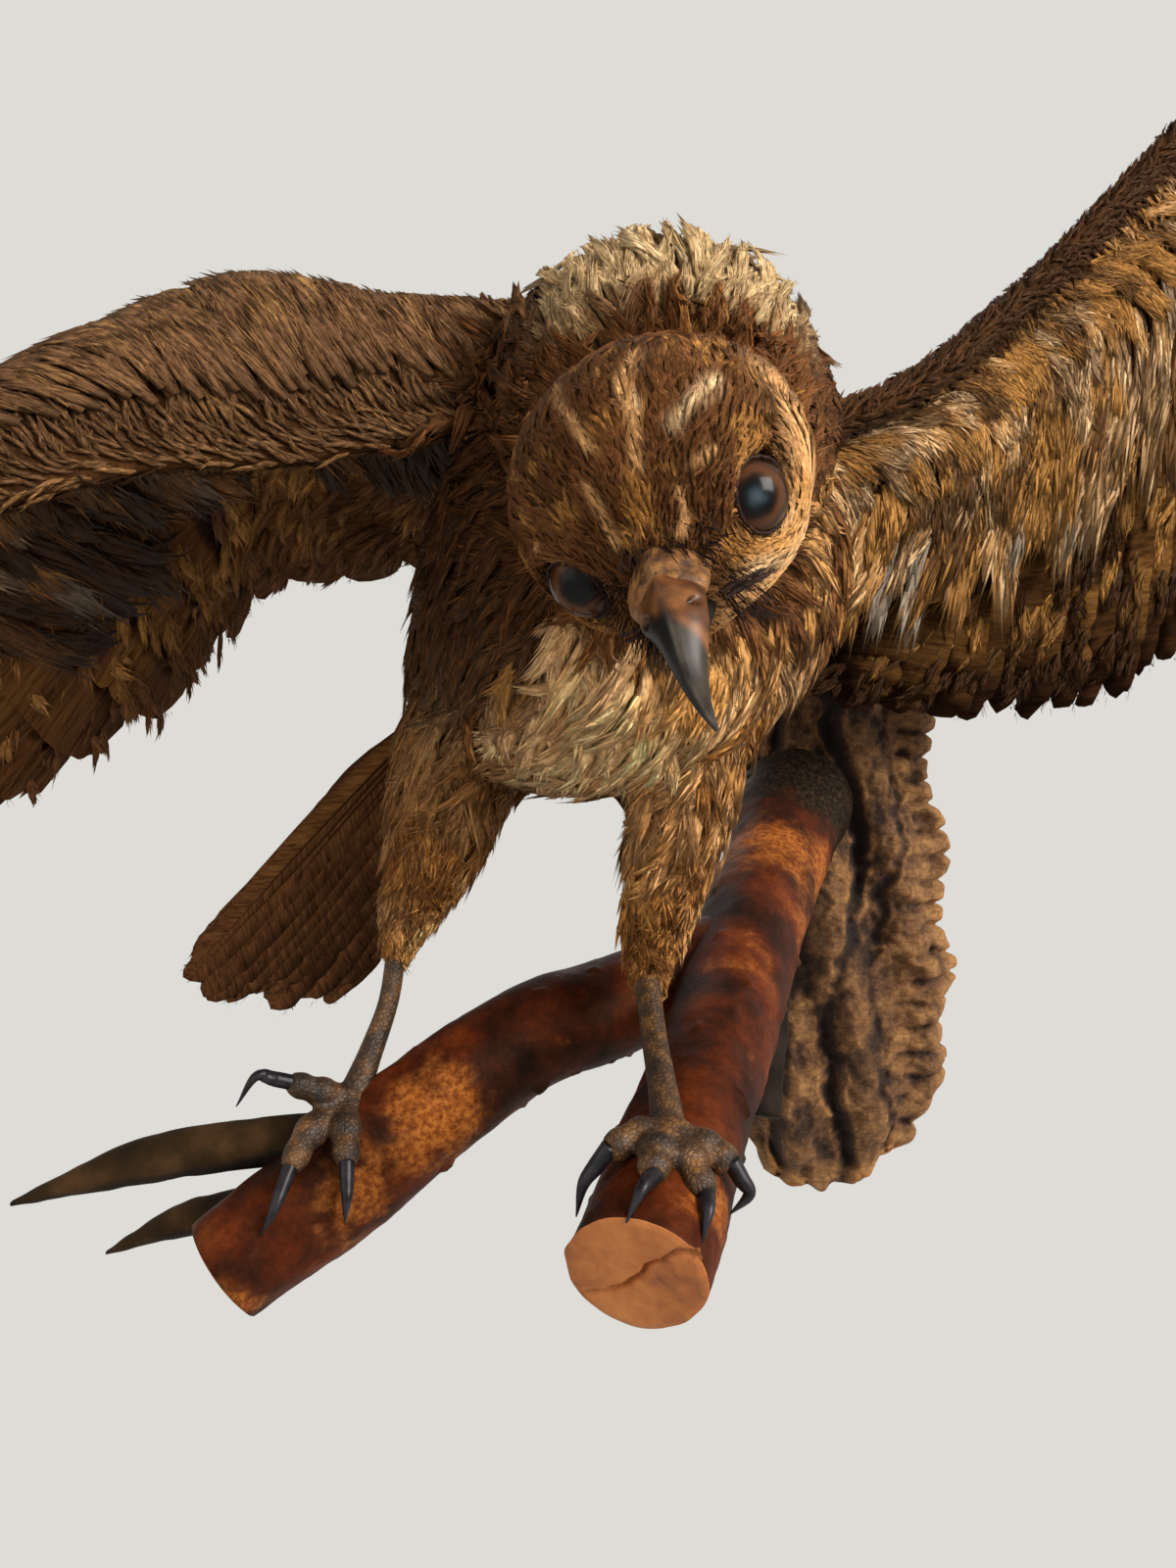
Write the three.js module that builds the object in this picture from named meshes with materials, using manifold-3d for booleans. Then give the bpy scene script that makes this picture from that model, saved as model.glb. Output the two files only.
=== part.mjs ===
// A mounted common buzzard (Buteo buteo) with raised wings, standing on a forked branch
// that is fixed to a slab of bark. Life size, in millimetres, +Z up.
// The origin is the middle of the slab's flat back, which lies against the wall (y = 0).
// The bird and the branch reach out from the wall towards -Y; +X is to the right.
import * as THREE from 'three';
import { mergeVertices } from 'three/addons/utils/BufferGeometryUtils.js';
import Module from 'manifold-3d';

const wasm = await Module();
wasm.setup();

// Driving dimensions
const GAP = 0.3; // clearance left between neighbouring solids
const SLAB_WIDTH = 94;
const SLAB_HEIGHT = 330;
const SLAB_DEPTH = 40;
const BREAK_SLOPE = 0.6; // how the slab's lower end rises to the right
const MAIN_BRANCH_RADIUS = 17.5;
const LEFT_BRANCH_RADIUS = 17.5;
const EYE_RADIUS = 8;
const EYE_SIDE = 21.5; // from the head's middle plane to an eye's centre
const PRIMARIES = 10;
const SECONDARIES = 13;
const TAIL_FEATHERS = 8; // of twelve, the ones that show in the closed tail
const PER_FEATHER = 3; // steps across each feather's tip
const CLAW_RADIUS = 2.3;

const at = (x, y, z) => new THREE.Vector3(x, y, z);
const { lerp, clamp, smoothstep } = THREE.MathUtils;

// ---- closed solids -------------------------------------------------------------

// Joins rings of equal count into a closed body with a fan over each end.
function loft(rings) {
  const sides = rings[0].length;
  const points = rings.flat();
  const faces = [];
  for (let ring = 0; ring < rings.length - 1; ring++) {
    for (let side = 0; side < sides; side++) {
      const a = ring * sides + side;
      const b = ring * sides + ((side + 1) % sides);
      faces.push([a, b, b + sides], [a, b + sides, a + sides]);
    }
  }
  for (const [ring, first] of [[0, true], [rings.length - 1, false]]) {
    const middle = points.length;
    const centre = at(0, 0, 0);
    rings[ring].forEach((point) => centre.addScaledVector(point, 1 / sides));
    points.push(centre);
    for (let side = 0; side < sides; side++) {
      const a = ring * sides + side;
      const b = ring * sides + ((side + 1) % sides);
      faces.push(first ? [b, a, middle] : [a, b, middle]);
    }
  }
  return solidFrom(points, faces);
}

// Turns points and triangles into a manifold solid, with its faces pointing out.
function solidFrom(points, faces) {
  let volume = 0;
  for (const [a, b, c] of faces) {
    volume += points[a].dot(points[b].clone().cross(points[c]));
  }
  const facing = volume > 0 ? faces : faces.map(([a, b, c]) => [a, c, b]);
  const vertProperties = new Float32Array(points.flatMap((point) => point.toArray()));
  const triVerts = new Uint32Array(facing.flat());
  return new wasm.Manifold(new wasm.Mesh({ numProp: 3, vertProperties, triVerts }));
}

// A limb along a smooth path. Each station is [point, half width, half height, lower half height].
// `across` points to the limb's side, and `grow` enlarges it all round. A stout limb gives
// `heading`, which keeps all its sections parallel, so that they can't cross in a bend.
function limb(stations, { across, heading, sides, steps, grow = 0, lumps = () => 1 }) {
  const path = new THREE.CatmullRomCurve3(stations.map(([point]) => point));
  const sizes = new THREE.CatmullRomCurve3(
    stations.map(([, wide, up = wide, down = up]) => at(wide, up, down)),
  );
  const count = (stations.length - 1) * steps;
  const rings = [];
  for (let step = 0; step <= count; step++) {
    const t = step / count;
    const along = heading ?? path.getTangent(t);
    const side = across.clone().addScaledVector(along, -across.dot(along)).normalize();
    const up = along.clone().cross(side).normalize();
    const centre = path.getPoint(t);
    if (step === 0) centre.addScaledVector(along, -grow);
    if (step === count) centre.addScaledVector(along, grow);
    const size = sizes.getPoint(t);
    const ring = [];
    for (let index = 0; index < sides; index++) {
      const angle = (index / sides) * 2 * Math.PI;
      const lump = lumps(t, angle);
      const tall = Math.sin(angle) > 0 ? size.y : size.z;
      ring.push(centre.clone()
        .addScaledVector(side, Math.cos(angle) * (size.x * lump + grow))
        .addScaledVector(up, Math.sin(angle) * (tall * lump + grow)));
    }
    rings.push(ring);
  }
  return loft(rings);
}

// A thin bent plate: surface(u, v) is its middle and thickness(u, v) its depth.
// `grow` thickens it and pushes its rim out.
function plate(surface, thickness, spans, chords, grow = 0) {
  const sheets = [[], []];
  for (let i = 0; i <= spans; i++) {
    for (let j = 0; j <= chords; j++) {
      const u = i / spans;
      const v = j / chords;
      const step = 0.002;
      const middle = surface(u, v);
      const alongU = surface(Math.min(u + step, 1), v).sub(surface(Math.max(u - step, 0), v));
      const alongV = surface(u, Math.min(v + step, 1)).sub(surface(u, Math.max(v - step, 0)));
      const half = alongU.clone().cross(alongV).setLength(thickness(u, v) / 2 + grow);
      middle.addScaledVector(alongU.normalize(), grow * ((i === spans) - (i === 0)));
      middle.addScaledVector(alongV.normalize(), grow * ((j === chords) - (j === 0)));
      sheets[0].push(middle.clone().add(half));
      sheets[1].push(middle.sub(half));
    }
  }
  const row = chords + 1;
  const under = sheets[0].length;
  const faces = [];
  for (let i = 0; i < spans; i++) {
    for (let j = 0; j < chords; j++) {
      const a = i * row + j;
      const [b, c, d] = [a + row, a + row + 1, a + 1];
      faces.push([a, b, c], [a, c, d]);
      faces.push([under + a, under + c, under + b], [under + a, under + d, under + c]);
    }
  }
  const rim = [];
  for (let i = 0; i < spans; i++) rim.push(i * row);
  for (let j = 0; j < chords; j++) rim.push(spans * row + j);
  for (let i = spans; i > 0; i--) rim.push(i * row + chords);
  for (let j = chords; j > 0; j--) rim.push(j);
  rim.forEach((a, index) => {
    const b = rim[(index + 1) % rim.length];
    faces.push([a, under + a, under + b], [a, under + b, b]);
  });
  return solidFrom(sheets.flat(), faces);
}

// A three.js geometry as a manifold solid.
function solidOf(geometry) {
  const bare = geometry.clone();
  bare.deleteAttribute('normal');
  bare.deleteAttribute('uv');
  const merged = mergeVertices(bare, 1e-4);
  const vertProperties = new Float32Array(merged.attributes.position.array);
  return new wasm.Manifold(
    new wasm.Mesh({ numProp: 3, vertProperties, triVerts: new Uint32Array(merged.index.array) }),
  );
}

// ---- putting the pieces together -----------------------------------------------

const group = new THREE.Group();
const placed = [];

const FINISHES = {
  bark: { color: 0x6b4a32, roughness: 0.9, metalness: 0 },
  branch: { color: 0x5b2c1a, roughness: 0.45, metalness: 0 },
  coat: { color: 0x6e5233, roughness: 0.85, metalness: 0 },
  flight: { color: 0x45301f, roughness: 0.7, metalness: 0 },
  cere: { color: 0x8a5a34, roughness: 0.5, metalness: 0 },
  horn: { color: 0x1c1b1e, roughness: 0.25, metalness: 0 },
  glass: { color: 0x2b1a12, roughness: 0.03, metalness: 0 },
  scales: { color: 0x5a4a2c, roughness: 0.6, metalness: 0 },
};

function boxesMeet(a, b) {
  return [0, 1, 2].every((axis) => a.min[axis] <= b.max[axis] && b.min[axis] <= a.max[axis]);
}

// Adds a piece built by build(grow). It is cut back from each neighbour that is already
// in place, by the neighbour's own shape enlarged by the gap.
function place(name, finish, build) {
  let solid = build(0);
  for (const neighbour of placed) {
    if (boxesMeet(solid.boundingBox(), neighbour.grown.boundingBox())) {
      solid = solid.subtract(neighbour.grown);
    }
  }
  placed.push({ grown: build(GAP) });
  const mesh = solid.getMesh();
  const geometry = new THREE.BufferGeometry();
  geometry.setAttribute('position', new THREE.BufferAttribute(mesh.vertProperties, 3));
  geometry.setIndex(new THREE.BufferAttribute(mesh.triVerts, 1));
  geometry.computeVertexNormals();
  const piece = new THREE.Mesh(geometry, new THREE.MeshStandardMaterial(FINISHES[finish]));
  piece.name = name;
  group.add(piece);
}

// ---- the mount: bark slab and forked branch ------------------------------------

// Thick bark with a flat sawn back; its front is domed, ridged and ragged at the ends.
function barkSlab(grow) {
  const levels = 13;
  const fronts = 11;
  const rings = [];
  for (let level = 0; level <= levels; level++) {
    const t = level / levels;
    const fade = smoothstep(Math.min(t, 1 - t), -0.06, 0.12);
    const half = (SLAB_WIDTH / 2) * (0.62 + 0.38 * fade) * (1 + 0.07 * Math.sin(level * 2.3));
    const height = lerp(-SLAB_HEIGHT / 2, SLAB_HEIGHT / 2, t) + (t * 2 - 1) * grow;
    const lean = 8 * Math.sin(t * 4 + 0.6);
    const slant = (x) => BREAK_SLOPE * Math.max(x - lean, 0) * (1 - smoothstep(t, 0, 0.5));
    const corner = (x) => at(x, grow, height + slant(x));
    const ring = [corner(lean + half + grow), corner(lean - half - grow)];
    for (let front = 0; front <= fronts; front++) {
      const across = -Math.cos((front / fronts) * Math.PI);
      const ridge = 1 + 0.12 * Math.sin(front * 2.1 + level * 0.9);
      const depth = SLAB_DEPTH * (0.35 + 0.65 * fade) * ridge * (0.3 + 0.7 * Math.sqrt(1 - across ** 2));
      const x = lean + across * (half + grow);
      ring.push(at(x, -depth - grow, height + slant(x)));
    }
    rings.push(ring);
  }
  return loft(rings);
}

const knotty = (t, angle) => 1 + 0.035 * Math.sin(7 * t + 2 * angle) + 0.025 * Math.sin(23 * t - angle);

const BRANCH_ROOT = at(-21, -38, 14);
const BRANCH_FORK = at(-59, -156, -38);
const BRANCH_END = at(-103, -290, -97);
const LEFT_MIDDLE = at(-144, -182, -68);
const LEFT_END = at(-227, -212, -128);

const mainBranch = (grow) => limb([
  [BRANCH_ROOT, 26, 27],
  [at(-28, -58, 4), 24, 25],
  [at(-41, -98, -13), 20, 20],
  [BRANCH_FORK, 19, 19],
  [at(-82, -226, -70), 18, 18],
  [at(-96, -268, -88), MAIN_BRANCH_RADIUS + 1],
  [BRANCH_END, MAIN_BRANCH_RADIUS],
], { across: at(1, 0, 0), grow, lumps: knotty, sides: 14, steps: 2 });

const leftBranch = (grow) => limb([
  [BRANCH_FORK, LEFT_BRANCH_RADIUS],
  [at(-100, -168, -52), LEFT_BRANCH_RADIUS],
  [LEFT_MIDDLE, LEFT_BRANCH_RADIUS],
  [at(-188, -198, -100), LEFT_BRANCH_RADIUS + 1],
  [LEFT_END, LEFT_BRANCH_RADIUS],
], { across: at(0, -1, 0), grow, lumps: knotty, sides: 14, steps: 2 });

// A side shoot cut off on a long slant.
function spur(root, tip, radius, grow) {
  const middle = root.clone().lerp(tip, 0.55).add(at(0, 0, radius * 0.6));
  return limb([
    [root, radius],
    [middle, radius * 0.95],
    [tip, radius * 0.3, radius * 0.12],
  ], { across: at(0, -1, 0), sides: 10, steps: 2, grow });
}

place('bark_slab', 'bark', barkSlab);
place('branch_main', 'branch', mainBranch);
place('branch_left', 'branch', leftBranch);
place('spur_upper', 'branch', (grow) => spur(at(-196, -196, -91), at(-303, -190, -115), 8, grow));
place('spur_lower', 'branch', (grow) => spur(at(-208, -194, -112), at(-276, -180, -135), 6, grow));
place('twig_back', 'branch', (grow) => limb([
  [at(-36, -112, -12), 6],
  [at(-46, -140, -50), 6],
  [at(-52, -158, -96), 5.5, 4],
], { across: at(1, 0, 0), sides: 10, steps: 2, grow }));

// ---- trunk, neck and head -------------------------------------------------------

const BODY_SIDE = at(0.86, 0.5, -0.1); // towards the bird's left
const BODY_HEADING = at(0.46, -0.74, 0.49).normalize(); // from tail to breast
const NECK_HEADING = at(-0.2, -0.92, -0.34).normalize();

const trunk = (grow) => limb([
  [at(-167, -133, 35), 19, 13],
  [at(-143, -162, 56), 40, 30, 44],
  [at(-119, -194, 77), 57, 43, 70],
  [at(-97, -223, 97), 66, 48, 72],
  [at(-86, -245, 111), 60, 46, 56],
  [at(-80, -258, 119), 44, 36, 40],
], { across: BODY_SIDE, heading: BODY_HEADING, sides: 22, steps: 2, grow });

// The head's own frame: origin between the eyes, x to the bill, y to the bird's left, z to the crown.
const HEAD = new THREE.Matrix4()
  .makeBasis(at(-0.031, -0.767, -0.641), at(0.859, -0.349, 0.375), at(-0.512, -0.539, 0.669))
  .setPosition(-98.7, -335.6, 71.4);
const onHead = (x, y, z) => at(x, y, z).applyMatrix4(HEAD);
const HEAD_SIDE = at(0.859, -0.349, 0.375);

const head = (grow) => limb([
  [onHead(-46, 0, 9), 14, 15, 14],
  [onHead(-40, 0, 8), 26, 25, 24],
  [onHead(-29, 0, 5), 35, 32, 29],
  [onHead(-16, 0, 2), 36, 33, 30],
  [onHead(-5, 0, 0), 32, 29, 27],
  [onHead(5, 0, -1), 26, 23, 23],
  [onHead(13, 0, -2), 18, 16, 18],
  [onHead(19, 0, -2), 11, 11, 12],
], { across: HEAD_SIDE, sides: 20, steps: 2, grow });

const neck = (grow) => limb([
  [at(-88, -254, 117), 46, 44, 40],
  [at(-97, -277, 114), 46, 45, 42],
  [at(-99, -297, 100), 40, 38, 38],
], { across: BODY_SIDE, heading: NECK_HEADING, sides: 18, steps: 2, grow });

const eyeball = (side) => (grow) => {
  const ball = new THREE.SphereGeometry(EYE_RADIUS + grow, 10, 7);
  const centre = onHead(1.5, side * EYE_SIDE, 0);
  return solidOf(ball.translate(centre.x, centre.y, centre.z));
};

place('eye_left', 'glass', eyeball(1));
place('eye_right', 'glass', eyeball(-1));
place('cere', 'cere', (grow) => limb([
  [onHead(12, 0, 0), 8, 8, 6],
  [onHead(20, 0, 0.5), 7.5, 7, 6],
  [onHead(28.5, 0, 0.5), 5.8, 6.2, 5],
], { across: HEAD_SIDE, sides: 12, steps: 2, grow }));
place('upper_bill', 'horn', (grow) => limb([
  [onHead(27, 0, 0.4), 5.6, 6.2, 5],
  [onHead(36, 0, -1), 4.8, 5.2, 4.6],
  [onHead(42.5, 0, -5.5), 3.2, 3.6, 3.4],
  [onHead(45.7, 0, -12), 1.6, 1.8, 1.8],
  [onHead(45.2, 0, -16), 0.6, 0.6, 0.6],
], { across: HEAD_SIDE, sides: 12, steps: 2, grow }));
place('lower_bill', 'horn', (grow) => limb([
  [onHead(10, 0, -10), 8, 3.4, 3],
  [onHead(22, 0, -9.5), 6, 3, 3],
  [onHead(33, 0, -9), 3, 2, 2],
], { across: HEAD_SIDE, sides: 8, steps: 2, grow }));
place('head', 'coat', head);
place('trunk', 'coat', trunk);
place('neck', 'coat', neck);

// ---- legs -----------------------------------------------------------------------

const LEG_SIDE = at(1, 0, 0);
const RIGHT_PAD = at(-191, -198, -80);
const LEFT_PAD = at(-94, -268, -70);

place('thigh_right', 'coat', (grow) => limb([
  [at(-140, -198, 66), 24],
  [at(-156, -187, 34), 23.5],
  [at(-165, -183, 4), 19],
  [at(-175, -181, -23), 12],
  [at(-181, -183, -42), 5.5],
], { across: LEG_SIDE, sides: 12, grow, steps: 2 }));
place('thigh_left', 'coat', (grow) => limb([
  [at(-80, -230, 60), 22],
  [at(-85, -223, 25), 18.5],
  [at(-91, -213, -6), 15],
  [at(-95, -209, -28), 12.5],
  [at(-97, -222, -46), 6],
], { across: LEG_SIDE, sides: 12, grow, steps: 2 }));
place('tarsus_right', 'scales', (grow) => limb([
  [at(-179, -182, -34), 3.4, 3.8],
  [at(-181, -186, -50), 3.4, 3.8],
  [at(-186, -192, -66), 4, 4],
  [RIGHT_PAD, 5.4, 4.6],
], { across: LEG_SIDE, sides: 8, grow, steps: 2 }));
place('tarsus_left', 'scales', (grow) => limb([
  [at(-97, -220, -38), 3.8, 4.2],
  [at(-96, -238, -51), 3.8, 4.2],
  [at(-94.5, -256, -62), 4.2, 4.2],
  [LEFT_PAD, 5.4, 4.6],
], { across: LEG_SIDE, sides: 8, grow, steps: 2 }));

// A foot is a pad with its toes; each toe is [knuckle, tip, claw bend, claw point].
const RIGHT_TOES = {
  inner: [at(-200, -204, -75), at(-208, -208, -71), at(-217, -212, -68), at(-223, -214, -77)],
  middle: [at(-201, -212, -86), at(-205, -220, -94), at(-208, -226, -104), at(-212, -226, -112)],
  outer: [at(-190, -211, -86), at(-188, -219, -93), at(-187, -224, -102), at(-188, -222, -110)],
  hind: [at(-193, -188, -84), at(-195, -180, -91), at(-196, -177, -100), at(-197, -180, -108)],
};
const LEFT_TOES = {
  inner: [at(-102, -272, -69), at(-110, -276, -71), at(-116, -277, -79), at(-118, -276, -88)],
  middle: [at(-98, -281, -76), at(-99, -291, -84), at(-99, -294, -94), at(-104, -293, -101)],
  outer: [at(-84, -272, -72), at(-78, -275, -75), at(-74, -276, -82), at(-79, -277, -87)],
  hind: [at(-89, -280, -77), at(-86, -289, -85), at(-86, -292, -94), at(-88, -291, -103)],
};

function foot(pad, toes, grow) {
  const palm = new THREE.SphereGeometry(6.4 + grow, 10, 6).translate(pad.x, pad.y, pad.z);
  return Object.values(toes).reduce((whole, [knuckle, tip]) => whole.add(limb([
    [pad, 3.6],
    [knuckle, 4.1, 3.8],
    [tip, 2.9],
  ], { across: at(0.9, 0.3, -0.3), sides: 6, steps: 2, grow })), solidOf(palm));
}

function claw([, tip, bend, point], grow) {
  return limb([
    [tip.clone().lerp(bend, -0.1), CLAW_RADIUS],
    [tip.clone().lerp(bend, 0.5), CLAW_RADIUS * 0.92],
    [bend, CLAW_RADIUS * 0.72],
    [point, 0.4],
  ], { across: at(0.9, 0.3, -0.3), sides: 6, steps: 2, grow });
}

for (const [side, pad, toes] of [['right', RIGHT_PAD, RIGHT_TOES], ['left', LEFT_PAD, LEFT_TOES]]) {
  place(`foot_${side}`, 'scales', (grow) => foot(pad, toes, grow));
  for (const [toe, points] of Object.entries(toes)) {
    place(`claw_${toe}_${side}`, 'horn', (grow) => claw(points, grow));
  }
}

// ---- wings ----------------------------------------------------------------------

// A rib is the wing's section: [leading edge, crest of the front, bone, feather tip].
// Beyond the wrist the section is flatter and follows one primary.
function handRib(lead, tip, rise) {
  return [
    lead,
    lead.clone().lerp(tip, 0.04).add(rise),
    lead.clone().lerp(tip, 0.1).add(rise),
    tip,
  ];
}

const RIGHT_RISE = at(-2, 4, 8);
const RIGHT_WING = {
  wristStep: at(-1.5, 0, -0.6), // clear of the arm's last rib
  arm: [
    [at(-126, -262, 116), at(-128, -248, 146), at(-130, -220, 146), at(-150, -132, 100)],
    [at(-162, -276, 107), at(-168, -259, 143), at(-172, -223, 145), at(-205, -104, 102)],
    [at(-190, -285, 99), at(-202, -270, 143), at(-218, -225, 145), at(-239, -110, 92)],
    [at(-219, -299, 94), at(-227, -281, 130), at(-255, -250, 116), at(-265, -130, 57)],
    [at(-266, -318, 74), at(-272, -307, 95), at(-285, -288, 89), at(-303, -175, 17)],
  ],
  hand: [
    handRib(at(-282, -320, 73), at(-372, -146, -10), RIGHT_RISE),
    handRib(at(-298, -318, 72), at(-468, -130, -18), RIGHT_RISE),
    handRib(at(-318, -310, 71), at(-552, -140, -8), RIGHT_RISE),
    handRib(at(-334, -300, 69), at(-602, -190, 12), RIGHT_RISE),
    handRib(at(-338, -298, 74), at(-570, -240, 34), RIGHT_RISE),
  ],
};

const LEFT_RISE = at(-6, 8, 0);
const LEFT_WING = {
  wristStep: at(1.5, 0, 0.8),
  arm: [
    [at(-62, -214, 122), at(-54, -196, 132), at(-44, -176, 118), at(-24, -114, 50)],
    [at(-12, -202, 146), at(-9, -180, 152), at(2, -158, 138), at(30, -97, 46)],
    [at(29, -188, 184), at(27, -170, 180), at(36, -148, 158), at(69, -85, 49)],
    [at(57, -180, 214), at(57, -164, 208), at(64, -152, 188), at(104, -80, 54)],
    [at(92, -173, 252), at(92, -162, 246), at(98, -154, 228), at(135, -75, 68)],
  ],
  hand: [
    handRib(at(104, -171, 262), at(200, -58, 98), LEFT_RISE),
    handRib(at(122, -170, 274), at(293, -40, 150), LEFT_RISE),
    handRib(at(138, -168, 284), at(385, -34, 250), LEFT_RISE),
    handRib(at(148, -166, 290), at(392, -34, 326), LEFT_RISE),
    handRib(at(146, -166, 296), at(359, -68, 376), LEFT_RISE),
  ],
};

// The wing's middle surface: u runs out along the ribs, v from the leading edge to the tips.
function wingSurface(ribs) {
  const rails = [0, 1, 2, 3].map((rail) => new THREE.CatmullRomCurve3(ribs.map((rib) => rib[rail])));
  return (u, v) => new THREE.CatmullRomCurve3(rails.map((rail) => rail.getPoint(u))).getPoint(v);
}

// How far each feather reaches: full at its shaft, less between it and the next.
const reach = (u, feathers, notch) => 1 - notch * Math.abs(2 * ((u * feathers) % 1) - 1) ** 2.5;

const FLESH_END = 0.7; // where the arm's flesh and coverts meet the flight feathers
const CHORD_GAP = 0.0015;

function wing(side, ribs) {
  const arm = wingSurface(ribs.arm);
  const wrist = ribs.arm.at(-1).map((point) => point.clone().add(ribs.wristStep));
  const hand = wingSurface([wrist, ...ribs.hand]);
  const armDepth = (u, v) => lerp(6, 16, Math.sin(clamp(v / FLESH_END, 0, 1) * Math.PI * 0.75));
  const handDepth = (u, v) => lerp(5, 9, Math.sin(clamp(v / FLESH_END, 0, 1) * Math.PI)) * lerp(1, 0.7, u);
  const vaneDepth = (u, v) => lerp(7, 1.2, smoothstep(v, 0, 0.75));
  place(`wing_arm_${side}`, 'coat', (grow) => plate(
    (u, v) => arm(u, v * FLESH_END), (u, v) => armDepth(u, v * FLESH_END), 10, 6, grow));
  place(`wing_hand_${side}`, 'coat', (grow) => plate(
    (u, v) => hand(u, v * FLESH_END), (u, v) => handDepth(u, v * FLESH_END), 6, 4, grow));
  const vanes = (surface, feathers, notch) => (u, v) => {
    const start = FLESH_END + CHORD_GAP;
    return surface(u, start + (1 - start) * v * reach(u, feathers, notch(u)));
  };
  place(`secondaries_${side}`, 'flight', (grow) => plate(
    vanes(arm, SECONDARIES, () => 0.1), vaneDepth, SECONDARIES * PER_FEATHER, 2, grow));
  place(`primaries_${side}`, 'flight', (grow) => plate(
    vanes(hand, PRIMARIES, (u) => lerp(0.1, 0.42, u)), vaneDepth, PRIMARIES * PER_FEATHER, 3, grow));
}

wing('right', RIGHT_WING);
wing('left', LEFT_WING);

// ---- tail -----------------------------------------------------------------------

const TAIL_ROOT = at(-163, -143, 41);
const TAIL_ALONG = at(-0.61, 0.45, -0.65).normalize();
const TAIL_ACROSS = at(0.77, 0.26, -0.57).normalize();

// The tail is closed, and its right-hand feathers are worn shorter.
function tailSurface(u, v) {
  const spread = lerp(-30, 42, u);
  const wear = lerp(0, 44, smoothstep(u, 0.55, 1));
  const length = (178 - wear) * reach(u, TAIL_FEATHERS, 0.05);
  return TAIL_ROOT.clone()
    .addScaledVector(TAIL_ALONG, length * v)
    .addScaledVector(TAIL_ACROSS, spread * lerp(0.5, 1, v))
    .add(at(-1, -1, 1).multiplyScalar(3 * Math.sin(u * Math.PI)));
}

place('tail', 'flight', (grow) => plate(
  tailSurface, (u, v) => lerp(12, 1.4, smoothstep(v, 0, 0.6)), TAIL_FEATHERS * PER_FEATHER, 3, grow));

export default group;
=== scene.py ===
import math

import bpy
import numpy as np
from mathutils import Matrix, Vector
from mathutils.bvhtree import BVHTree
from mathutils.kdtree import KDTree


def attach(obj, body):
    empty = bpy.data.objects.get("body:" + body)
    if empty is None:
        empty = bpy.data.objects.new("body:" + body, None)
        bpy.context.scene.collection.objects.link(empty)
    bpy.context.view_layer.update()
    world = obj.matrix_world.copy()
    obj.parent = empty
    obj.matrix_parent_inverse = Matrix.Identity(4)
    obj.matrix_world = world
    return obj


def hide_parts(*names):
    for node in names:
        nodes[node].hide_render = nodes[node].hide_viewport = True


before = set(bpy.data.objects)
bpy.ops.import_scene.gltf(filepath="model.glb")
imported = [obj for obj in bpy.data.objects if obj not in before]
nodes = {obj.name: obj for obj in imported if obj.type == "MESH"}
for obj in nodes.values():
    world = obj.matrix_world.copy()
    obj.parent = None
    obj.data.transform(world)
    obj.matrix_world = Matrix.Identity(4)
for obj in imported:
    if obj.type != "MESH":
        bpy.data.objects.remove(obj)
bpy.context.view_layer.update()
scene = bpy.context.scene

# ---- The view -------------------------------------------------------------------------
# A phone's wide lens, held level and square to the wall. It is 57 cm from the wall, and 24 cm
# in front of the bird's head.
phone_lens = bpy.data.cameras.new("phone_lens")
phone_lens.lens = 27
phone_lens.sensor_width = 36
phone_lens.clip_start = 0.01
phone_lens.clip_end = 60
phone = bpy.data.objects.new("phone", phone_lens)
phone.location = (-0.115, -0.575, 0.022)
phone.rotation_euler = (math.pi / 2, 0, 0)
scene.collection.objects.link(phone)
scene.camera = phone

# ---- The pale room --------------------------------------------------------------------
# A white room with a pale floor well below the bird. Soft, nearly white light comes from a
# window on the right, and weak light fills the left side and the back.
scene.view_settings.view_transform = "Standard"


def paint(code):
    """A colour named by its six hex digits, as linear light."""
    shades = [int(code[place:place + 2], 16) / 255 for place in (0, 2, 4)]
    return np.array([((s + 0.055) / 1.055) ** 2.4 if s > 0.04045 else s / 12.92 for s in shades])


def wire(tree, kind, sockets=None, **settings):
    """Adds one node. A socket given another node's output is linked to it."""
    made = tree.nodes.new(kind)
    for name, value in settings.items():
        setattr(made, name, value)
    for name, value in (sockets or {}).items():
        if isinstance(value, bpy.types.NodeSocket):
            tree.links.new(value, made.inputs[name])
        else:
            made.inputs[name].default_value = value
    return made


WALL_WHITE = (*paint("dedcd7"), 1)
room = bpy.data.worlds.new("white_room")
room.use_nodes = True
scene.world = room
air = room.node_tree
air.nodes.clear()
seen = wire(air, "ShaderNodeLightPath").outputs["Is Camera Ray"]
far_wall = wire(air, "ShaderNodeBackground", {"Color": WALL_WHITE, "Strength": 1})
daylight = wire(air, "ShaderNodeBackground", {"Color": (1, 0.95, 0.88, 1), "Strength": 0.62})
both = wire(air, "ShaderNodeMixShader", {0: seen, 1: daylight.outputs[0], 2: far_wall.outputs[0]})
wire(air, "ShaderNodeOutputWorld", {"Surface": both.outputs[0]})

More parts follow.
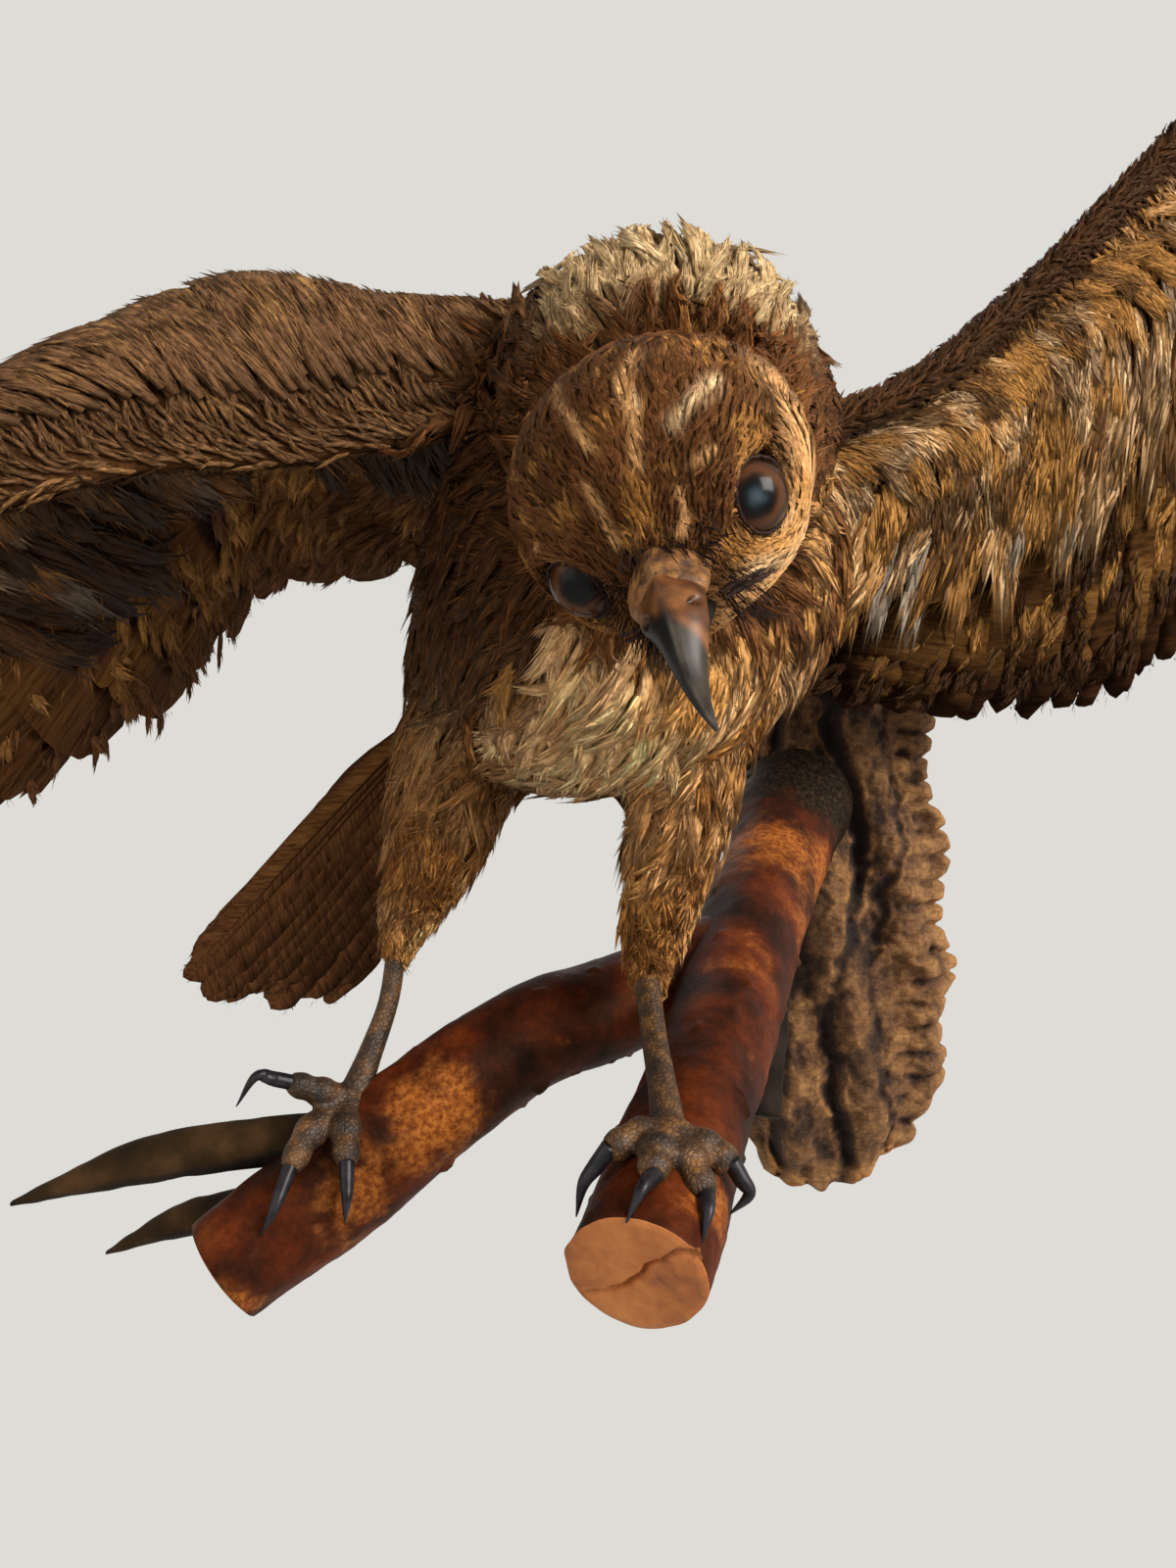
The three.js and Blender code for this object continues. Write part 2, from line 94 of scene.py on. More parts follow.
bpy.ops.mesh.primitive_circle_add(vertices=96, radius=4, fill_type="NGON", location=(0, 0, -1.2))
floor = bpy.context.object
floor.name = "pale_floor"
floor_paint = bpy.data.materials.new("pale_floor_paint")
floor_paint.use_nodes = True
pale = floor_paint.node_tree
pale.nodes.clear()
seen = wire(pale, "ShaderNodeLightPath").outputs["Is Camera Ray"]
glow = wire(pale, "ShaderNodeEmission", {"Color": WALL_WHITE, "Strength": 1})
matt = wire(pale, "ShaderNodeBsdfDiffuse", {"Color": (0.6, 0.59, 0.57, 1)})
both = wire(pale, "ShaderNodeMixShader", {0: seen, 1: matt.outputs[0], 2: glow.outputs[0]})
wire(pale, "ShaderNodeOutputMaterial", {"Surface": both.outputs[0]})
floor.data.materials.append(floor_paint)

LIT_PLACE = Vector((-0.1, -0.2, 0.02))
for name, place, power, size, colour in (
    ("window", (1.05, -1.25, 0.75), 41, 0.9, (1, 0.96, 0.9)),
    ("room_fill", (-1.5, -1.1, 0.5), 5, 1.4, (1, 0.93, 0.84)),
    ("back_fill", (0.4, 1.4, 1.0), 6, 1.6, (0.95, 0.97, 1)),
):
    lamp = bpy.data.lights.new(name, "AREA")
    lamp.energy = power
    lamp.size = size
    lamp.color = colour
    light = bpy.data.objects.new(name, lamp)
    light.location = place
    light.rotation_euler = (LIT_PLACE - Vector(place)).to_track_quat("-Z", "Y").to_euler()
    scene.collection.objects.link(light)

# ---- The bark slab --------------------------------------------------------------------
# A slab of thick cork-like bark, broken at both ends, with a flat sawn back. Its front is
# split by deep crevices, and its right edge shows the bark's yearly layers.
MM = 0.001


def speckle(points, size, seed=0):
    """Smooth random hills from -1 to 1 over the points, about `size` across."""
    place = np.asarray(points, float) / size + seed * 17.3
    corner = np.floor(place).astype(np.int64)
    part = place - corner
    part = part * part * (3 - 2 * part)
    hills = 0
    for dx in (0, 1):
        for dy in (0, 1):
            for dz in (0, 1):
                x, y, z = (corner[..., axis] + step for axis, step in enumerate((dx, dy, dz)))
                key = (x * 73856093) ^ (y * 19349663) ^ (z * 83492791)
                key = (key ^ (key >> 13)) & 0x7FFFFFFF
                key = (key * 1274126177 + 12345) & 0x7FFFFFFF
                key = ((key ^ (key >> 15)) * 2246822519) & 0x7FFFFFFF
                share = part[..., 0] if dx else 1 - part[..., 0]
                share = share * (part[..., 1] if dy else 1 - part[..., 1])
                share = share * (part[..., 2] if dz else 1 - part[..., 2])
                hills = hills + share * (key / 0x3FFFFFFF - 1)
    return hills


def fade(value, start, end):
    """0 before start, 1 after end, and smooth between."""
    share = np.clip((value - start) / (end - start), 0, 1)
    return share * share * (3 - 2 * share)


def shell(rings):
    """Points and triangles of a closed skin over rings of equal count, each end fanned."""
    rings = np.asarray(rings, float)
    count, sides, _ = rings.shape
    points = np.concatenate([rings.reshape(-1, 3), [rings[0].mean(0), rings[-1].mean(0)]])
    side = np.arange(sides)
    after = (side + 1) % sides
    start = (np.arange(count - 1) * sides)[:, None]
    a, b = start + side, start + after
    walls = np.stack([np.stack([a, b, b + sides], -1), np.stack([a, b + sides, a + sides], -1)], 2)
    last = (count - 1) * sides
    near = np.stack([after, side, np.full(sides, count * sides)], -1)
    far = np.stack([last + side, last + after, np.full(sides, count * sides + 1)], -1)
    faces = np.concatenate([walls.reshape(-1, 3), near, far])
    a, b, c = (points[faces[:, corner]] for corner in range(3))
    if np.einsum("ij,ij->", a, np.cross(b, c)) < 0:
        faces = faces[:, ::-1]
    return points, faces


def piece(name, points, faces, finish):
    """A mesh object from points in millimetres and triangles."""
    mesh = bpy.data.meshes.new(name)
    faces = np.asarray(faces)
    mesh.vertices.add(len(points))
    mesh.vertices.foreach_set("co", (np.asarray(points) * MM).astype(np.float32).ravel())
    mesh.loops.add(faces.size)
    mesh.loops.foreach_set("vertex_index", faces.astype(np.int32).ravel())
    mesh.polygons.add(len(faces))
    mesh.polygons.foreach_set("loop_start", np.arange(0, faces.size, 3, dtype=np.int32))
    mesh.polygons.foreach_set("use_smooth", np.ones(len(faces), bool))
    mesh.update(calc_edges=True)
    mesh.materials.append(finish)
    made = bpy.data.objects.new(name, mesh)
    scene.collection.objects.link(made)
    return made


def tint(made, name, colours):
    """Stores a colour, or one number, for each point of the piece."""
    colours = np.asarray(colours, float)
    if colours.ndim == 1:
        colours = np.repeat(colours[:, None], 3, 1)
    full = np.concatenate([colours, np.ones((len(colours), 1))], 1)
    layer = made.data.attributes.new(name, "FLOAT_COLOR", "POINT")
    layer.data.foreach_set("color", full.astype(np.float32).ravel())


def stand_in(made, slot, *replaced):
    """The piece rides on the model and takes the place of these nodes of the frame."""
    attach(made, "root")
    if replaced:
        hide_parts(*replaced)


def blank_finish(name, roughness, gloss=0.5, gloss_tint=(1, 1, 1, 1)):
    """A new material, with its node tree and its shader."""
    made = bpy.data.materials.new(name)
    made.use_nodes = True
    shader = made.node_tree.nodes["Principled BSDF"]
    shader.inputs["Roughness"].default_value = roughness
    shader.inputs["Specular IOR Level"].default_value = gloss
    shader.inputs["Specular Tint"].default_value = gloss_tint
    return made, made.node_tree, shader


def ramp(tree, value, stops):
    """A colour ramp fed by value; stops are (place, hex colour)."""
    made = tree.nodes.new("ShaderNodeValToRGB")
    tree.links.new(value, made.inputs[0])
    marks = made.color_ramp.elements
    while len(marks) < len(stops):
        marks.new(0.5)
    for mark, (place, code) in zip(marks, stops):
        mark.position = place
        mark.color = (*paint(code), 1)
    return made.outputs[0]


def feed(tree, shader, colour, height=None, strength=0.5, distance=0.001):
    """Gives the shader its colour and, through a bump, its small relief."""
    tree.links.new(colour, shader.inputs["Base Color"])
    if height is not None:
        bump = wire(tree, "ShaderNodeBump", {"Height": height, "Strength": strength, "Distance": distance})
        tree.links.new(bump.outputs[0], shader.inputs["Normal"])


def place_on(tree):
    """The place on the piece, in metres, for the patterns of its finish."""
    return wire(tree, "ShaderNodeTexCoord").outputs["Object"]


def noise(tree, where, scale, detail, **others):
    """A cloudy pattern from 0 to 1; scale is its clouds to the metre."""
    sockets = {"Vector": where, "Scale": scale, "Detail": detail, **others}
    return wire(tree, "ShaderNodeTexNoise", sockets).outputs[0]


def cells(tree, where, scale, **settings):
    """The distance to the nearest cell's middle, or to its edge."""
    return wire(tree, "ShaderNodeTexVoronoi", {"Vector": where, "Scale": scale}, **settings).outputs[0]


def stored(tree, name, output="Fac"):
    """The number or colour that tint() stored for each point of the piece."""
    return wire(tree, "ShaderNodeAttribute", attribute_name=name).outputs[output]


def scaled(tree, value, times, plus):
    """The value times one number or pattern, plus another."""
    return wire(tree, "ShaderNodeMath", {0: value, 1: times, 2: plus}, operation="MULTIPLY_ADD").outputs[0]


def laid_over(tree, under, over, amount, blend="MIX"):
    """One colour over another by an amount, or multiplied into it."""
    sockets = {"Factor": amount, "A": under, "B": over}
    return wire(tree, "ShaderNodeMix", sockets, data_type="RGBA", blend_type=blend).outputs["Result"]


# Dirt, dust and cracks are one effect: a colour is darkened where a pattern is low.
settled_dirt = bpy.data.node_groups.new("settled_dirt", "ShaderNodeTree")
for name, kind in (
    ("Colour", "Color"), ("Pattern", "Float"), ("Start", "Float"), ("End", "Float"),
    ("Dark", "Color"), ("Light", "Color"), ("Amount", "Float"),
):
    settled_dirt.interface.new_socket(name, in_out="INPUT", socket_type=f"NodeSocket{kind}")
settled_dirt.interface.new_socket("Colour", in_out="OUTPUT", socket_type="NodeSocketColor")
given = wire(settled_dirt, "NodeGroupInput").outputs
span = {"Value": given["Pattern"], "From Min": given["Start"], "From Max": given["End"]}
share = wire(settled_dirt, "ShaderNodeMapRange", span).outputs[0]
stain = laid_over(settled_dirt, given["Dark"], given["Light"], share)
stained = laid_over(settled_dirt, given["Colour"], stain, given["Amount"], "MULTIPLY")
wire(settled_dirt, "NodeGroupOutput", {"Colour": stained})


def dirtied(tree, colour, pattern, start, end, dark, light="ffffff", amount=1.0):
    """Places the dirt in a material: the pattern goes from dark at start to light at end."""
    sockets = {
        "Colour": colour, "Pattern": pattern, "Start": start, "End": end,
        "Dark": (*paint(dark), 1), "Light": (*paint(light), 1), "Amount": amount,
    }
    return wire(tree, "ShaderNodeGroup", sockets, node_tree=settled_dirt).outputs["Colour"]


bark, tree, shader = blank_finish("cork_bark", 0.88)
where = place_on(tree)
grit = noise(tree, where, 420, 8, Roughness=0.7)
patchy = scaled(tree, noise(tree, where, 55, 4), 0.35, 0.38)
# The stored relief makes the bark darker down in its crevices, a painted shade, and lighter on its rims,
# partly the bark's own orange and partly painted highlight.
level = scaled(tree, grit, 0.34, scaled(tree, stored(tree, "relief"), patchy, -0.12))
tone = ramp(tree, level, [
    (0.0, "120a06"), (0.18, "36200f"), (0.32, "75502e"), (0.5, "a87a48"), (0.66, "bc7c3a"), (0.85, "cc7c28"),
])
stretched = wire(tree, "ShaderNodeMapping", {"Vector": where, "Scale": (130, 130, 300)}).outputs[0]
seams = cells(tree, stretched, 1, feature="DISTANCE_TO_EDGE")
cracked = dirtied(tree, tone, seams, 0, 0.1, "8c7058", amount=0.5)
feed(tree, shader, cracked, scaled(tree, seams, 0.4, grit), 0.9, 0.002)

SLAB_WIDTH, SLAB_HEIGHT, SLAB_DEPTH = 94, 330, 40
BREAK_SLOPE = 0.6
SLAB_LEVELS, SLAB_FRONTS = 300, 130
# Deep crevices of the front: middle, sway, width and depth.
CREVICES = ((2, 7, 3.2, 9), (20, 6, 2.2, 6), (-22, 6, 2.6, 7), (-37, 4, 2, 5))
t = np.linspace(0, 1, SLAB_LEVELS)[:, None]
across = -np.cos(np.linspace(0, math.pi, SLAB_FRONTS))[None, :]
ends = fade(np.minimum(t, 1 - t), -0.06, 0.12)
up_waves = t * 13
round_waves = (np.arccos(-across) / math.pi) * 11
half = SLAB_WIDTH / 2 * (0.62 + 0.38 * ends) * (1 + 0.07 * np.sin(up_waves * 2.3))
lean = 8 * np.sin(t * 4 + 0.6)
ridge = 1 + 0.12 * np.sin(round_waves * 2.1 + up_waves * 0.9)
depth = SLAB_DEPTH * (0.35 + 0.65 * ends) * ridge * (0.3 + 0.7 * np.sqrt(1 - across ** 2))
x = lean + across * half
slope = BREAK_SLOPE * np.maximum(x - lean, 0) * (1 - fade(t, 0, 0.5))
z = -SLAB_HEIGHT / 2 + SLAB_HEIGHT * t + slope + 0 * x
spots = np.stack([x, -depth, z], -1)
layers = (1 - 2 * np.abs(np.cos(z / 3.6 + 0.8 * speckle(spots, 14))) ** 7) * fade(across + 0 * z, 0.3, 0.75)
cracks, lips = np.zeros_like(x), np.zeros_like(x)
for middle, sway, wide, deep in CREVICES:
    line = middle + sway * np.sin(z / 27 + middle) + 3 * speckle(np.stack([x * 0, z, z * 0], -1), 9, middle)
    line = line + 1.6 * speckle(spots, 6, middle)
    open_here = np.maximum(0.45 + 0.55 * speckle(spots, 34, 3 + middle), 0)
    cracks += deep * np.exp(-((x - line) / wide) ** 2) * open_here
    lips += np.exp(-((np.abs(x - line) - 1.7 * wide) / 1.3) ** 2) * open_here
steps = 3.2 * speckle(spots, 11, 5) + 2.2 * speckle(spots, 5, 6) + 1.3 * speckle(spots, 2.4, 7)
out = steps - np.maximum(cracks, 0) + 1.8 * layers
out = out * (1 - 0.5 * np.abs(across) ** 6)
rough_end = 4 * speckle(np.stack([x, -depth, 0 * z], -1), 7, 9)
rough_end = rough_end + 6 * speckle(np.stack([x, 0 * x, 0 * z], -1), 17, 4)
spots[..., 1] -= out
spots[..., 0] += np.sign(across) * np.abs(across) ** 3 * (1.9 * layers + 1.4 * speckle(spots, 8, 8))
spots[..., 2] += rough_end * ((1 - fade(t, 0, 0.1)) + fade(t, 0.9, 1))
spots[..., 1] = np.minimum(spots[..., 1], -1.5)
back = spots[:, [-1, 0]].copy()
back[..., 1] = 0
rings = np.concatenate([back, spots], 1)
points, faces = shell(rings)
slab = piece("bark_slab_front", points, faces, bark)
# Painted shade and highlight: the bark is darker where its front sinks into the crevices and lighter where it
# stands out, and lighter again on the crevice lips, the bottom break and the right edge, partly its own
# orange and partly painted highlight.
rim = fade(np.abs(across), 0.8, 1) * (across > 0) + (1 - fade(t, 0.0, 0.05)) + fade(lips, 0.2, 0.8)
relief_shade_and_highlight = np.clip(0.42 + out / 13 + 0.28 * np.minimum(rim, 1.3), 0, 1)
relief_shade_and_highlight = np.concatenate([np.full((SLAB_LEVELS, 2), 0.3), relief_shade_and_highlight], 1).ravel()
tint(slab, "relief", np.concatenate([relief_shade_and_highlight, [0.75, 0.5]]))
stand_in(slab, "bark", "bark_slab")

# ---- The forked branch ----------------------------------------------------------------
# Two limbs of a cherry-like branch with thin, varnished red-brown bark, rubbed through to
# orange in places. Both ends are sawn square, and two side shoots are cut on a long slant.


def through(course, t):
    """Points at t, from 0 to 1, on the smooth curve through course (..., count, 3)."""
    course = np.asarray(course, float)
    t = np.asarray(t, float)
    first = 2 * course[..., :1, :] - course[..., 1:2, :]
    last = 2 * course[..., -1:, :] - course[..., -2:-1, :]
    full = np.concatenate([first, course, last], -2)
    spans = course.shape[-2] - 1
    place = np.clip(t, 0, 1) * spans
    step = np.minimum(place.astype(int), spans - 1)
    part = (place - step)[..., None]
    full = np.broadcast_to(full, t.shape + full.shape[-2:])
    p0, p1, p2, p3 = (
        np.take_along_axis(full, (step + k)[..., None, None], -2)[..., 0, :] for k in range(4)
    )
    d0, d1, d2 = (
        np.maximum(np.sqrt(np.linalg.norm(b - a, axis=-1, keepdims=True)), 1e-4)
        for a, b in ((p0, p1), (p1, p2), (p2, p3))
    )
    leave = ((p1 - p0) / d0 - (p2 - p0) / (d0 + d1) + (p2 - p1) / d1) * d1
    reach_in = ((p2 - p1) / d1 - (p3 - p1) / (d1 + d2) + (p3 - p2) / d2) * d1
    square = -3 * p1 + 3 * p2 - 2 * leave - reach_in
    cube = 2 * p1 - 2 * p2 + leave + reach_in
    return p1 + part * (leave + part * (square + part * cube))


def unit(vectors):
    """The vectors at length one."""
    vectors = np.asarray(vectors, float)
    return vectors / np.maximum(np.linalg.norm(vectors, axis=-1, keepdims=True), 1e-9)


def limb(stations, side, count, sides, shape=None):
    """Rings round a smooth path. A station is (x, y, z, half width, half height up, and down)."""
    full = [tuple(s) + (s[-1],) * (6 - len(s)) for s in stations]
    course = np.array([s[:3] for s in full], float)
    sizes = np.array([s[3:] for s in full], float)
    t = np.linspace(0, 1, count)
    middle = through(course, t)
    size = through(sizes, t)
    ahead = unit(through(course, t + 0.002) - through(course, t - 0.002))
    side = np.asarray(side, float)
    side = unit(side - ahead * (ahead @ side)[:, None])
    up = unit(np.cross(ahead, side))
    angle = np.linspace(0, 2 * math.pi, sides, endpoint=False)
    swell = shape(t[:, None], angle[None, :]) if shape else np.ones((count, sides))
    tall = np.where(np.sin(angle)[None, :] > 0, size[:, 1:2], size[:, 2:3])
    return (
        middle[:, None]
        + side[:, None] * (np.cos(angle) * size[:, :1] * swell)[..., None]
        + up[:, None] * (np.sin(angle) * tall * swell)[..., None]
    )


def knotty(t, angle):
    """The slow swelling of a branch."""
    return 1 + 0.035 * np.sin(7 * t + 2 * angle) + 0.025 * np.sin(23 * t - angle)


varnish, tree, shader = blank_finish("varnished_branch_bark", 0.5, 0.1, (1, 0.7, 0.5, 1))
where = place_on(tree)
cloud = noise(tree, where, 38, 6, Roughness=0.6)
fine = noise(tree, where, 520, 6, Roughness=0.65)
base = ramp(tree, cloud, [
    (0.32, "180b06"), (0.44, "34170c"), (0.55, "50210d"), (0.66, "683013"), (0.8, "80481f"),
])
grey = ramp(tree, fine, [(0.35, "0c0805"), (0.5, "1c140c"), (0.62, "33261a"), (0.8, "574029")])
worn = ramp(tree, fine, [(0.3, "6a3212"), (0.5, "a25a24"), (0.7, "c47e38")])
tone = laid_over(tree, laid_over(tree, base, grey, stored(tree, "collar")), worn, stored(tree, "rubbed"))
feed(tree, shader, dirtied(tree, tone, fine, 0.35, 0.55, "8a8078", amount=fine), fine, 0.35, 0.0008)

sawn, tree, shader = blank_finish("sawn_wood", 0.62)
where = place_on(tree)
streaks = noise(tree, where, 240, 5, Distortion=0.5)
blend = scaled(tree, streaks, 0.5, noise(tree, where, 45, 3))
tone = ramp(tree, blend, [(0.45, "7c4420"), (0.68, "a9632d"), (0.95, "c07a3c")])
feed(tree, shader, tone, streaks, 0.35, 0.0006)

ROOT, FORK, BRANCH_END = (-21, -38, 14), (-59, -156, -38), (-103, -290, -97)
LEFT_END = (-227, -212, -128)
MAIN_BRANCH = [
    (*ROOT, 26, 27), (-28, -58, 4, 24, 25), (-41, -98, -13, 20), (*FORK, 19),
    (-82, -226, -70, 18), (-96, -268, -88, 18.5), (*BRANCH_END, 17.5),
]
LEFT_BRANCH = [
    (*FORK, 17.5), (-100, -168, -52, 17.5), (-144, -182, -68, 17.5),
    (-188, -198, -100, 18.5), (*LEFT_END, 17.5),
]
BRANCH_SIDES = 84
# Where the varnished bark is rubbed through: the middle and the size of each spot.
RUBBED_SPOTS = [
    ((-44, -112, -8), 30), ((-30, -104, -16), 24), ((-163, -205, -84), 22), ((-222, -226, -136), 12),
    ((-88, -282, -82), 12),
]


def drying_crack(cap, centre, ahead, way):
    """Opens a crack across the sawn end, along the given way."""
    line = unit(way)
    other = unit(np.cross(ahead, line))
    flat = cap - centre
    along = flat @ line
    off = flat @ other - 1.6 * np.sin(along / 4.1) - 0.9 * speckle(flat, 2.6)
    return cap - ahead * (2.4 * np.exp(-(off / 0.75) ** 2) * fade(along, -16, -12))[:, None]


def branch(name, stations, side, length, replaced, crack=None):
    """A limb of the branch, with its sawn end closed by rings that shrink to the heart."""
    rings = limb(stations, side, int(length / 1.9), BRANCH_SIDES, shape=knotty)
    outward = unit(rings - rings.mean(1, keepdims=True))
    bands = speckle(rings, 9, 1) + 0.5 * speckle(rings, 3.6, 2)
    ragged_rub = 0.5 * speckle(rings, 8, 5) + 0.35 * speckle(rings, 3, 8)
    rub = 0.5 * fade(speckle(rings, 30, 4) + ragged_rub, 0.5, 1.1)
    for spot, size in RUBBED_SPOTS:
        near = 1 - np.linalg.norm(rings - spot, axis=2) / size
        rub = np.maximum(rub, 0.75 * fade(near + 0.6 * ragged_rub, 0, 0.7))
    collar = fade(46 - np.linalg.norm(rings - ROOT, axis=2) + 9 * ragged_rub, -5, 5)
    rub = rub * (1 - collar)
    warts = fade(speckle(rings, 6, 6), 0.62, 0.85)
    rings = rings + outward * (0.45 * bands - 0.5 * rub + 1.3 * warts)[..., None]
    rim, centre = rings[-1], rings[-1].mean(0)
    ahead = unit(centre - rings[-6].mean(0))
    rim = rim + ahead * ((centre - rim) @ ahead)[:, None]
    rings[-1] = rim
    caps = []
    for share in np.linspace(0.975, 0.04, 26):
        cap = centre + (rim - centre) * share + ahead * 0.5 * (1 - fade(share, 0.9, 1))
        caps.append(cap if crack is None else drying_crack(cap, centre, ahead, crack))
    points, faces = shell(np.concatenate([rings, caps]))
    made = piece(name, points, faces, varnish)
    made.data.materials.append(sawn)
    first_cap = len(rings) * BRANCH_SIDES
    on_cap = (faces.min(1) >= first_cap - BRANCH_SIDES) & (faces.max(1) >= first_cap)
    made.data.polygons.foreach_set("material_index", on_cap.astype(np.int32))
    beyond = len(points) - rub.size
    tint(made, "rubbed", np.concatenate([np.clip(rub, 0, 1).ravel(), np.ones(beyond)]))
    tint(made, "collar", np.concatenate([collar.ravel(), np.zeros(beyond)]))
    stand_in(made, "branch_wood", *replaced)


branch("main_limb", MAIN_BRANCH, (1, 0, 0), 330, ["branch_main"], (1, 0.3, 0.8))
branch("left_limb", LEFT_BRANCH, (0, -1, 0), 200, ["branch_left"])

# Dry bark, skin and feathers have only a dull tawny shine.
TAWNY_SHINE = (1, 0.78, 0.56, 1)
weathered, tree, shader = blank_finish("weathered_shoot", 0.75, 0.2, TAWNY_SHINE)
grain = noise(tree, place_on(tree), 70, 6)
barked = ramp(tree, grain, [(0.35, "0e0b0a"), (0.65, "241c19")])
bared = ramp(tree, grain, [(0.3, "1c130b"), (0.5, "30210f"), (0.7, "4c341f")])
feed(tree, shader, laid_over(tree, barked, bared, stored(tree, "rubbed")), grain, 0.5, 0.001)


def roughened(rings, height, size, seed=0):
    """The rings with small hills all over."""
    outward = unit(rings - rings.mean(1, keepdims=True))
    return rings + outward * (height * speckle(rings, size, seed))[..., None]


def spur(name, root, tip, radius, node):
    """A side shoot cut off on a long slant, bark below and bare wood on the cut."""
    root, tip = np.array(root, float), np.array(tip, float)
    middle = root + (tip - root) * 0.55 + (0, 0, radius * 0.6)
    rings = limb(
        [(*root, radius), (*middle, radius * 0.95), (*tip, radius * 0.3, radius * 0.12)],
        (0, -1, 0), 60, 40,
    )
    points, faces = shell(roughened(rings, 0.35, 5))
    made = piece(name, points, faces, weathered)
    axis = unit(tip - root)
    high = (points - root - ((points - root) @ axis)[:, None] * axis)[:, 2]
    tint(made, "rubbed", fade(high + 1.5 * speckle(points, 9, 3), -1, 1.5))
    stand_in(made, "branch_wood", node)


spur("upper_spur", (-196, -196, -91), (-303, -190, -115), 8, "spur_upper")
spur("lower_spur", (-208, -194, -112), (-276, -180, -135), 6, "spur_lower")
rings = limb([(-36, -112, -12, 6), (-46, -140, -50, 6), (-52, -158, -96, 5.5, 4)], (1, 0, 0), 60, 32)
points, faces = shell(roughened(rings, 0.5, 6))
back_twig = piece("back_twig", points, faces, weathered)
tint(back_twig, "rubbed", np.zeros(len(points)))
stand_in(back_twig, "branch_wood", "twig_back")

# ---- The skin -------------------------------------------------------------------------
# One tanned skin, pulled over the filled body, head, thighs and both wings. It lies inside
# the outline by the depth of its feathers, and is sunk round the glass eyes.
# The head's middle, and its ways to the bill, to the bird's left and to the crown.
HEAD_PLACE = np.array([-98.7, -335.6, 71.4])
HEAD_AXES = np.array([[-0.031, -0.767, -0.641], [0.859, -0.349, 0.375], [-0.512, -0.539, 0.669]])
# Each eye in the head's own frame: its middle, the way its lids open, and the way it looks.
EYES = {
    "left": ((1.0, 18.4, 1.2), (0.6, 0.8, 0.04), (0.86, 0.33, 0.316)),
    "right": ((1.0, -18.4, 1.2), (0.8, -0.6, 0.0), (0.959, -0.036, 0.38)),
}
EYE_RADIUS = 8
SKIN_VOXEL = 0.0021
PART_BLEND = 4.5


def from_head(points):
    """Points of the head's own frame (to the bill, to the bird's left, to the crown), placed."""
    return HEAD_PLACE + np.asarray(points, float) @ HEAD_AXES


def to_head(points):
    """Placed points in the head's own frame."""
    return (np.asarray(points, float) - HEAD_PLACE) @ HEAD_AXES.T


# Each part of the skin: its node, and how deep its feathers are.
COAT_DEPTH = {
    "head": 2.6, "neck": 5.5, "trunk": 5.5, "thigh_right": 4, "thigh_left": 4,
    "wing_arm_right": 1.6, "wing_arm_left": 1.6, "wing_hand_right": 1, "wing_hand_left": 1,
}


def read(data, name, width, kind=float):
    """One measure of every point, corner or triangle of a mesh, in rows."""
    values = np.zeros(len(data) * width, kind)
    data.foreach_get(name, values)
    return values.reshape(-1, width)


def one_skin(made, voxel, rounds, finish):
    """Joins the closed forms of a piece into one smoothed skin, and gives its mesh."""
    join = made.modifiers.new("join", "REMESH")
    join.mode = "VOXEL"
    join.voxel_size = voxel
    soften = made.modifiers.new("soften", "SMOOTH")
    soften.iterations = rounds
    mesh = bpy.data.meshes.new_from_object(made.evaluated_get(bpy.context.evaluated_depsgraph_get()))
    made.modifiers.clear()
    made.data = mesh
    mesh.name = made.name
    mesh.materials.clear()
    mesh.materials.append(finish)
    mesh.polygons.foreach_set("use_smooth", np.ones(len(mesh.polygons), bool))
    return mesh


corners, triangles, trees = [], [], {}
for part in COAT_DEPTH:
    mesh = nodes[part].data
    mesh.calc_loop_triangles()
    spots = read(mesh.vertices, "co", 3)
    picks = read(mesh.loop_triangles, "vertices", 3, np.int32)
    trees[part] = BVHTree.FromPolygons(spots.tolist(), picks.tolist())
    triangles.append(picks + sum(len(c) for c in corners))
    corners.append(spots / MM)

hide, tree, shader = blank_finish("tanned_skin", 0.9, 0.1, TAWNY_SHINE)
pores = noise(tree, place_on(tree), 900, 4)
markings = dirtied(tree, stored(tree, "plumage", "Color"), pores, 0.3, 0.7, "9a9a9a")
feed(tree, shader, markings, pores, 0.4, 0.0006)

# Stuffing under the head's skin, in the head's own frame: x, y, z and half width.
CHIN = (
    (-16, 1, -11, 1), (-13, 1, -11, 6), (-4, 1, -11, 9.5), (7, 1, -11, 9), (14, 1, -11, 5.5), (17, 1, -11, 1),
)
BILL_ROOT = (
    (-4, 0, 0, 15), (6, 0, 0, 14.2), (12, 0, 0, 12.6), (16, 0, 0, 11), (19, 0, 0, 9.2), (21, 0, 0, 6),
)
CHEEK = (
    (-18, 25, 10, 4), (-13, 26, 3, 5), (-8, 26, -5, 6), (-2, 21, -11, 6.5), (5, 12, -13, 6.5), (9, 4, -12, 6),
)
for filling in (CHIN, BILL_ROOT, CHEEK):
    points, faces = shell(limb([(*from_head(s[:3]), s[3]) for s in filling], HEAD_AXES[1], 40, 30))
    triangles.append(faces + sum(len(c) for c in corners))
    corners.append(points)
skin = piece("skin", np.concatenate(corners), np.concatenate(triangles), hide)
pulled = one_skin(skin, SKIN_VOXEL, 8, hide)
spots = read(pulled.vertices, "co", 3) / MM
outward = read(pulled.vertices, "normal", 3)


def parts_near(points):
    """How much each part of the skin has to do with each point; the shares add up to one."""
    apart = np.array([
        [trees[part].find_nearest(Vector(p))[3] / MM for p in np.asarray(points) * MM]
        for part in COAT_DEPTH
    ]).T
    share = np.exp(-((apart - apart.min(1, keepdims=True)) / PART_BLEND) ** 2)
    return share / share.sum(1, keepdims=True)


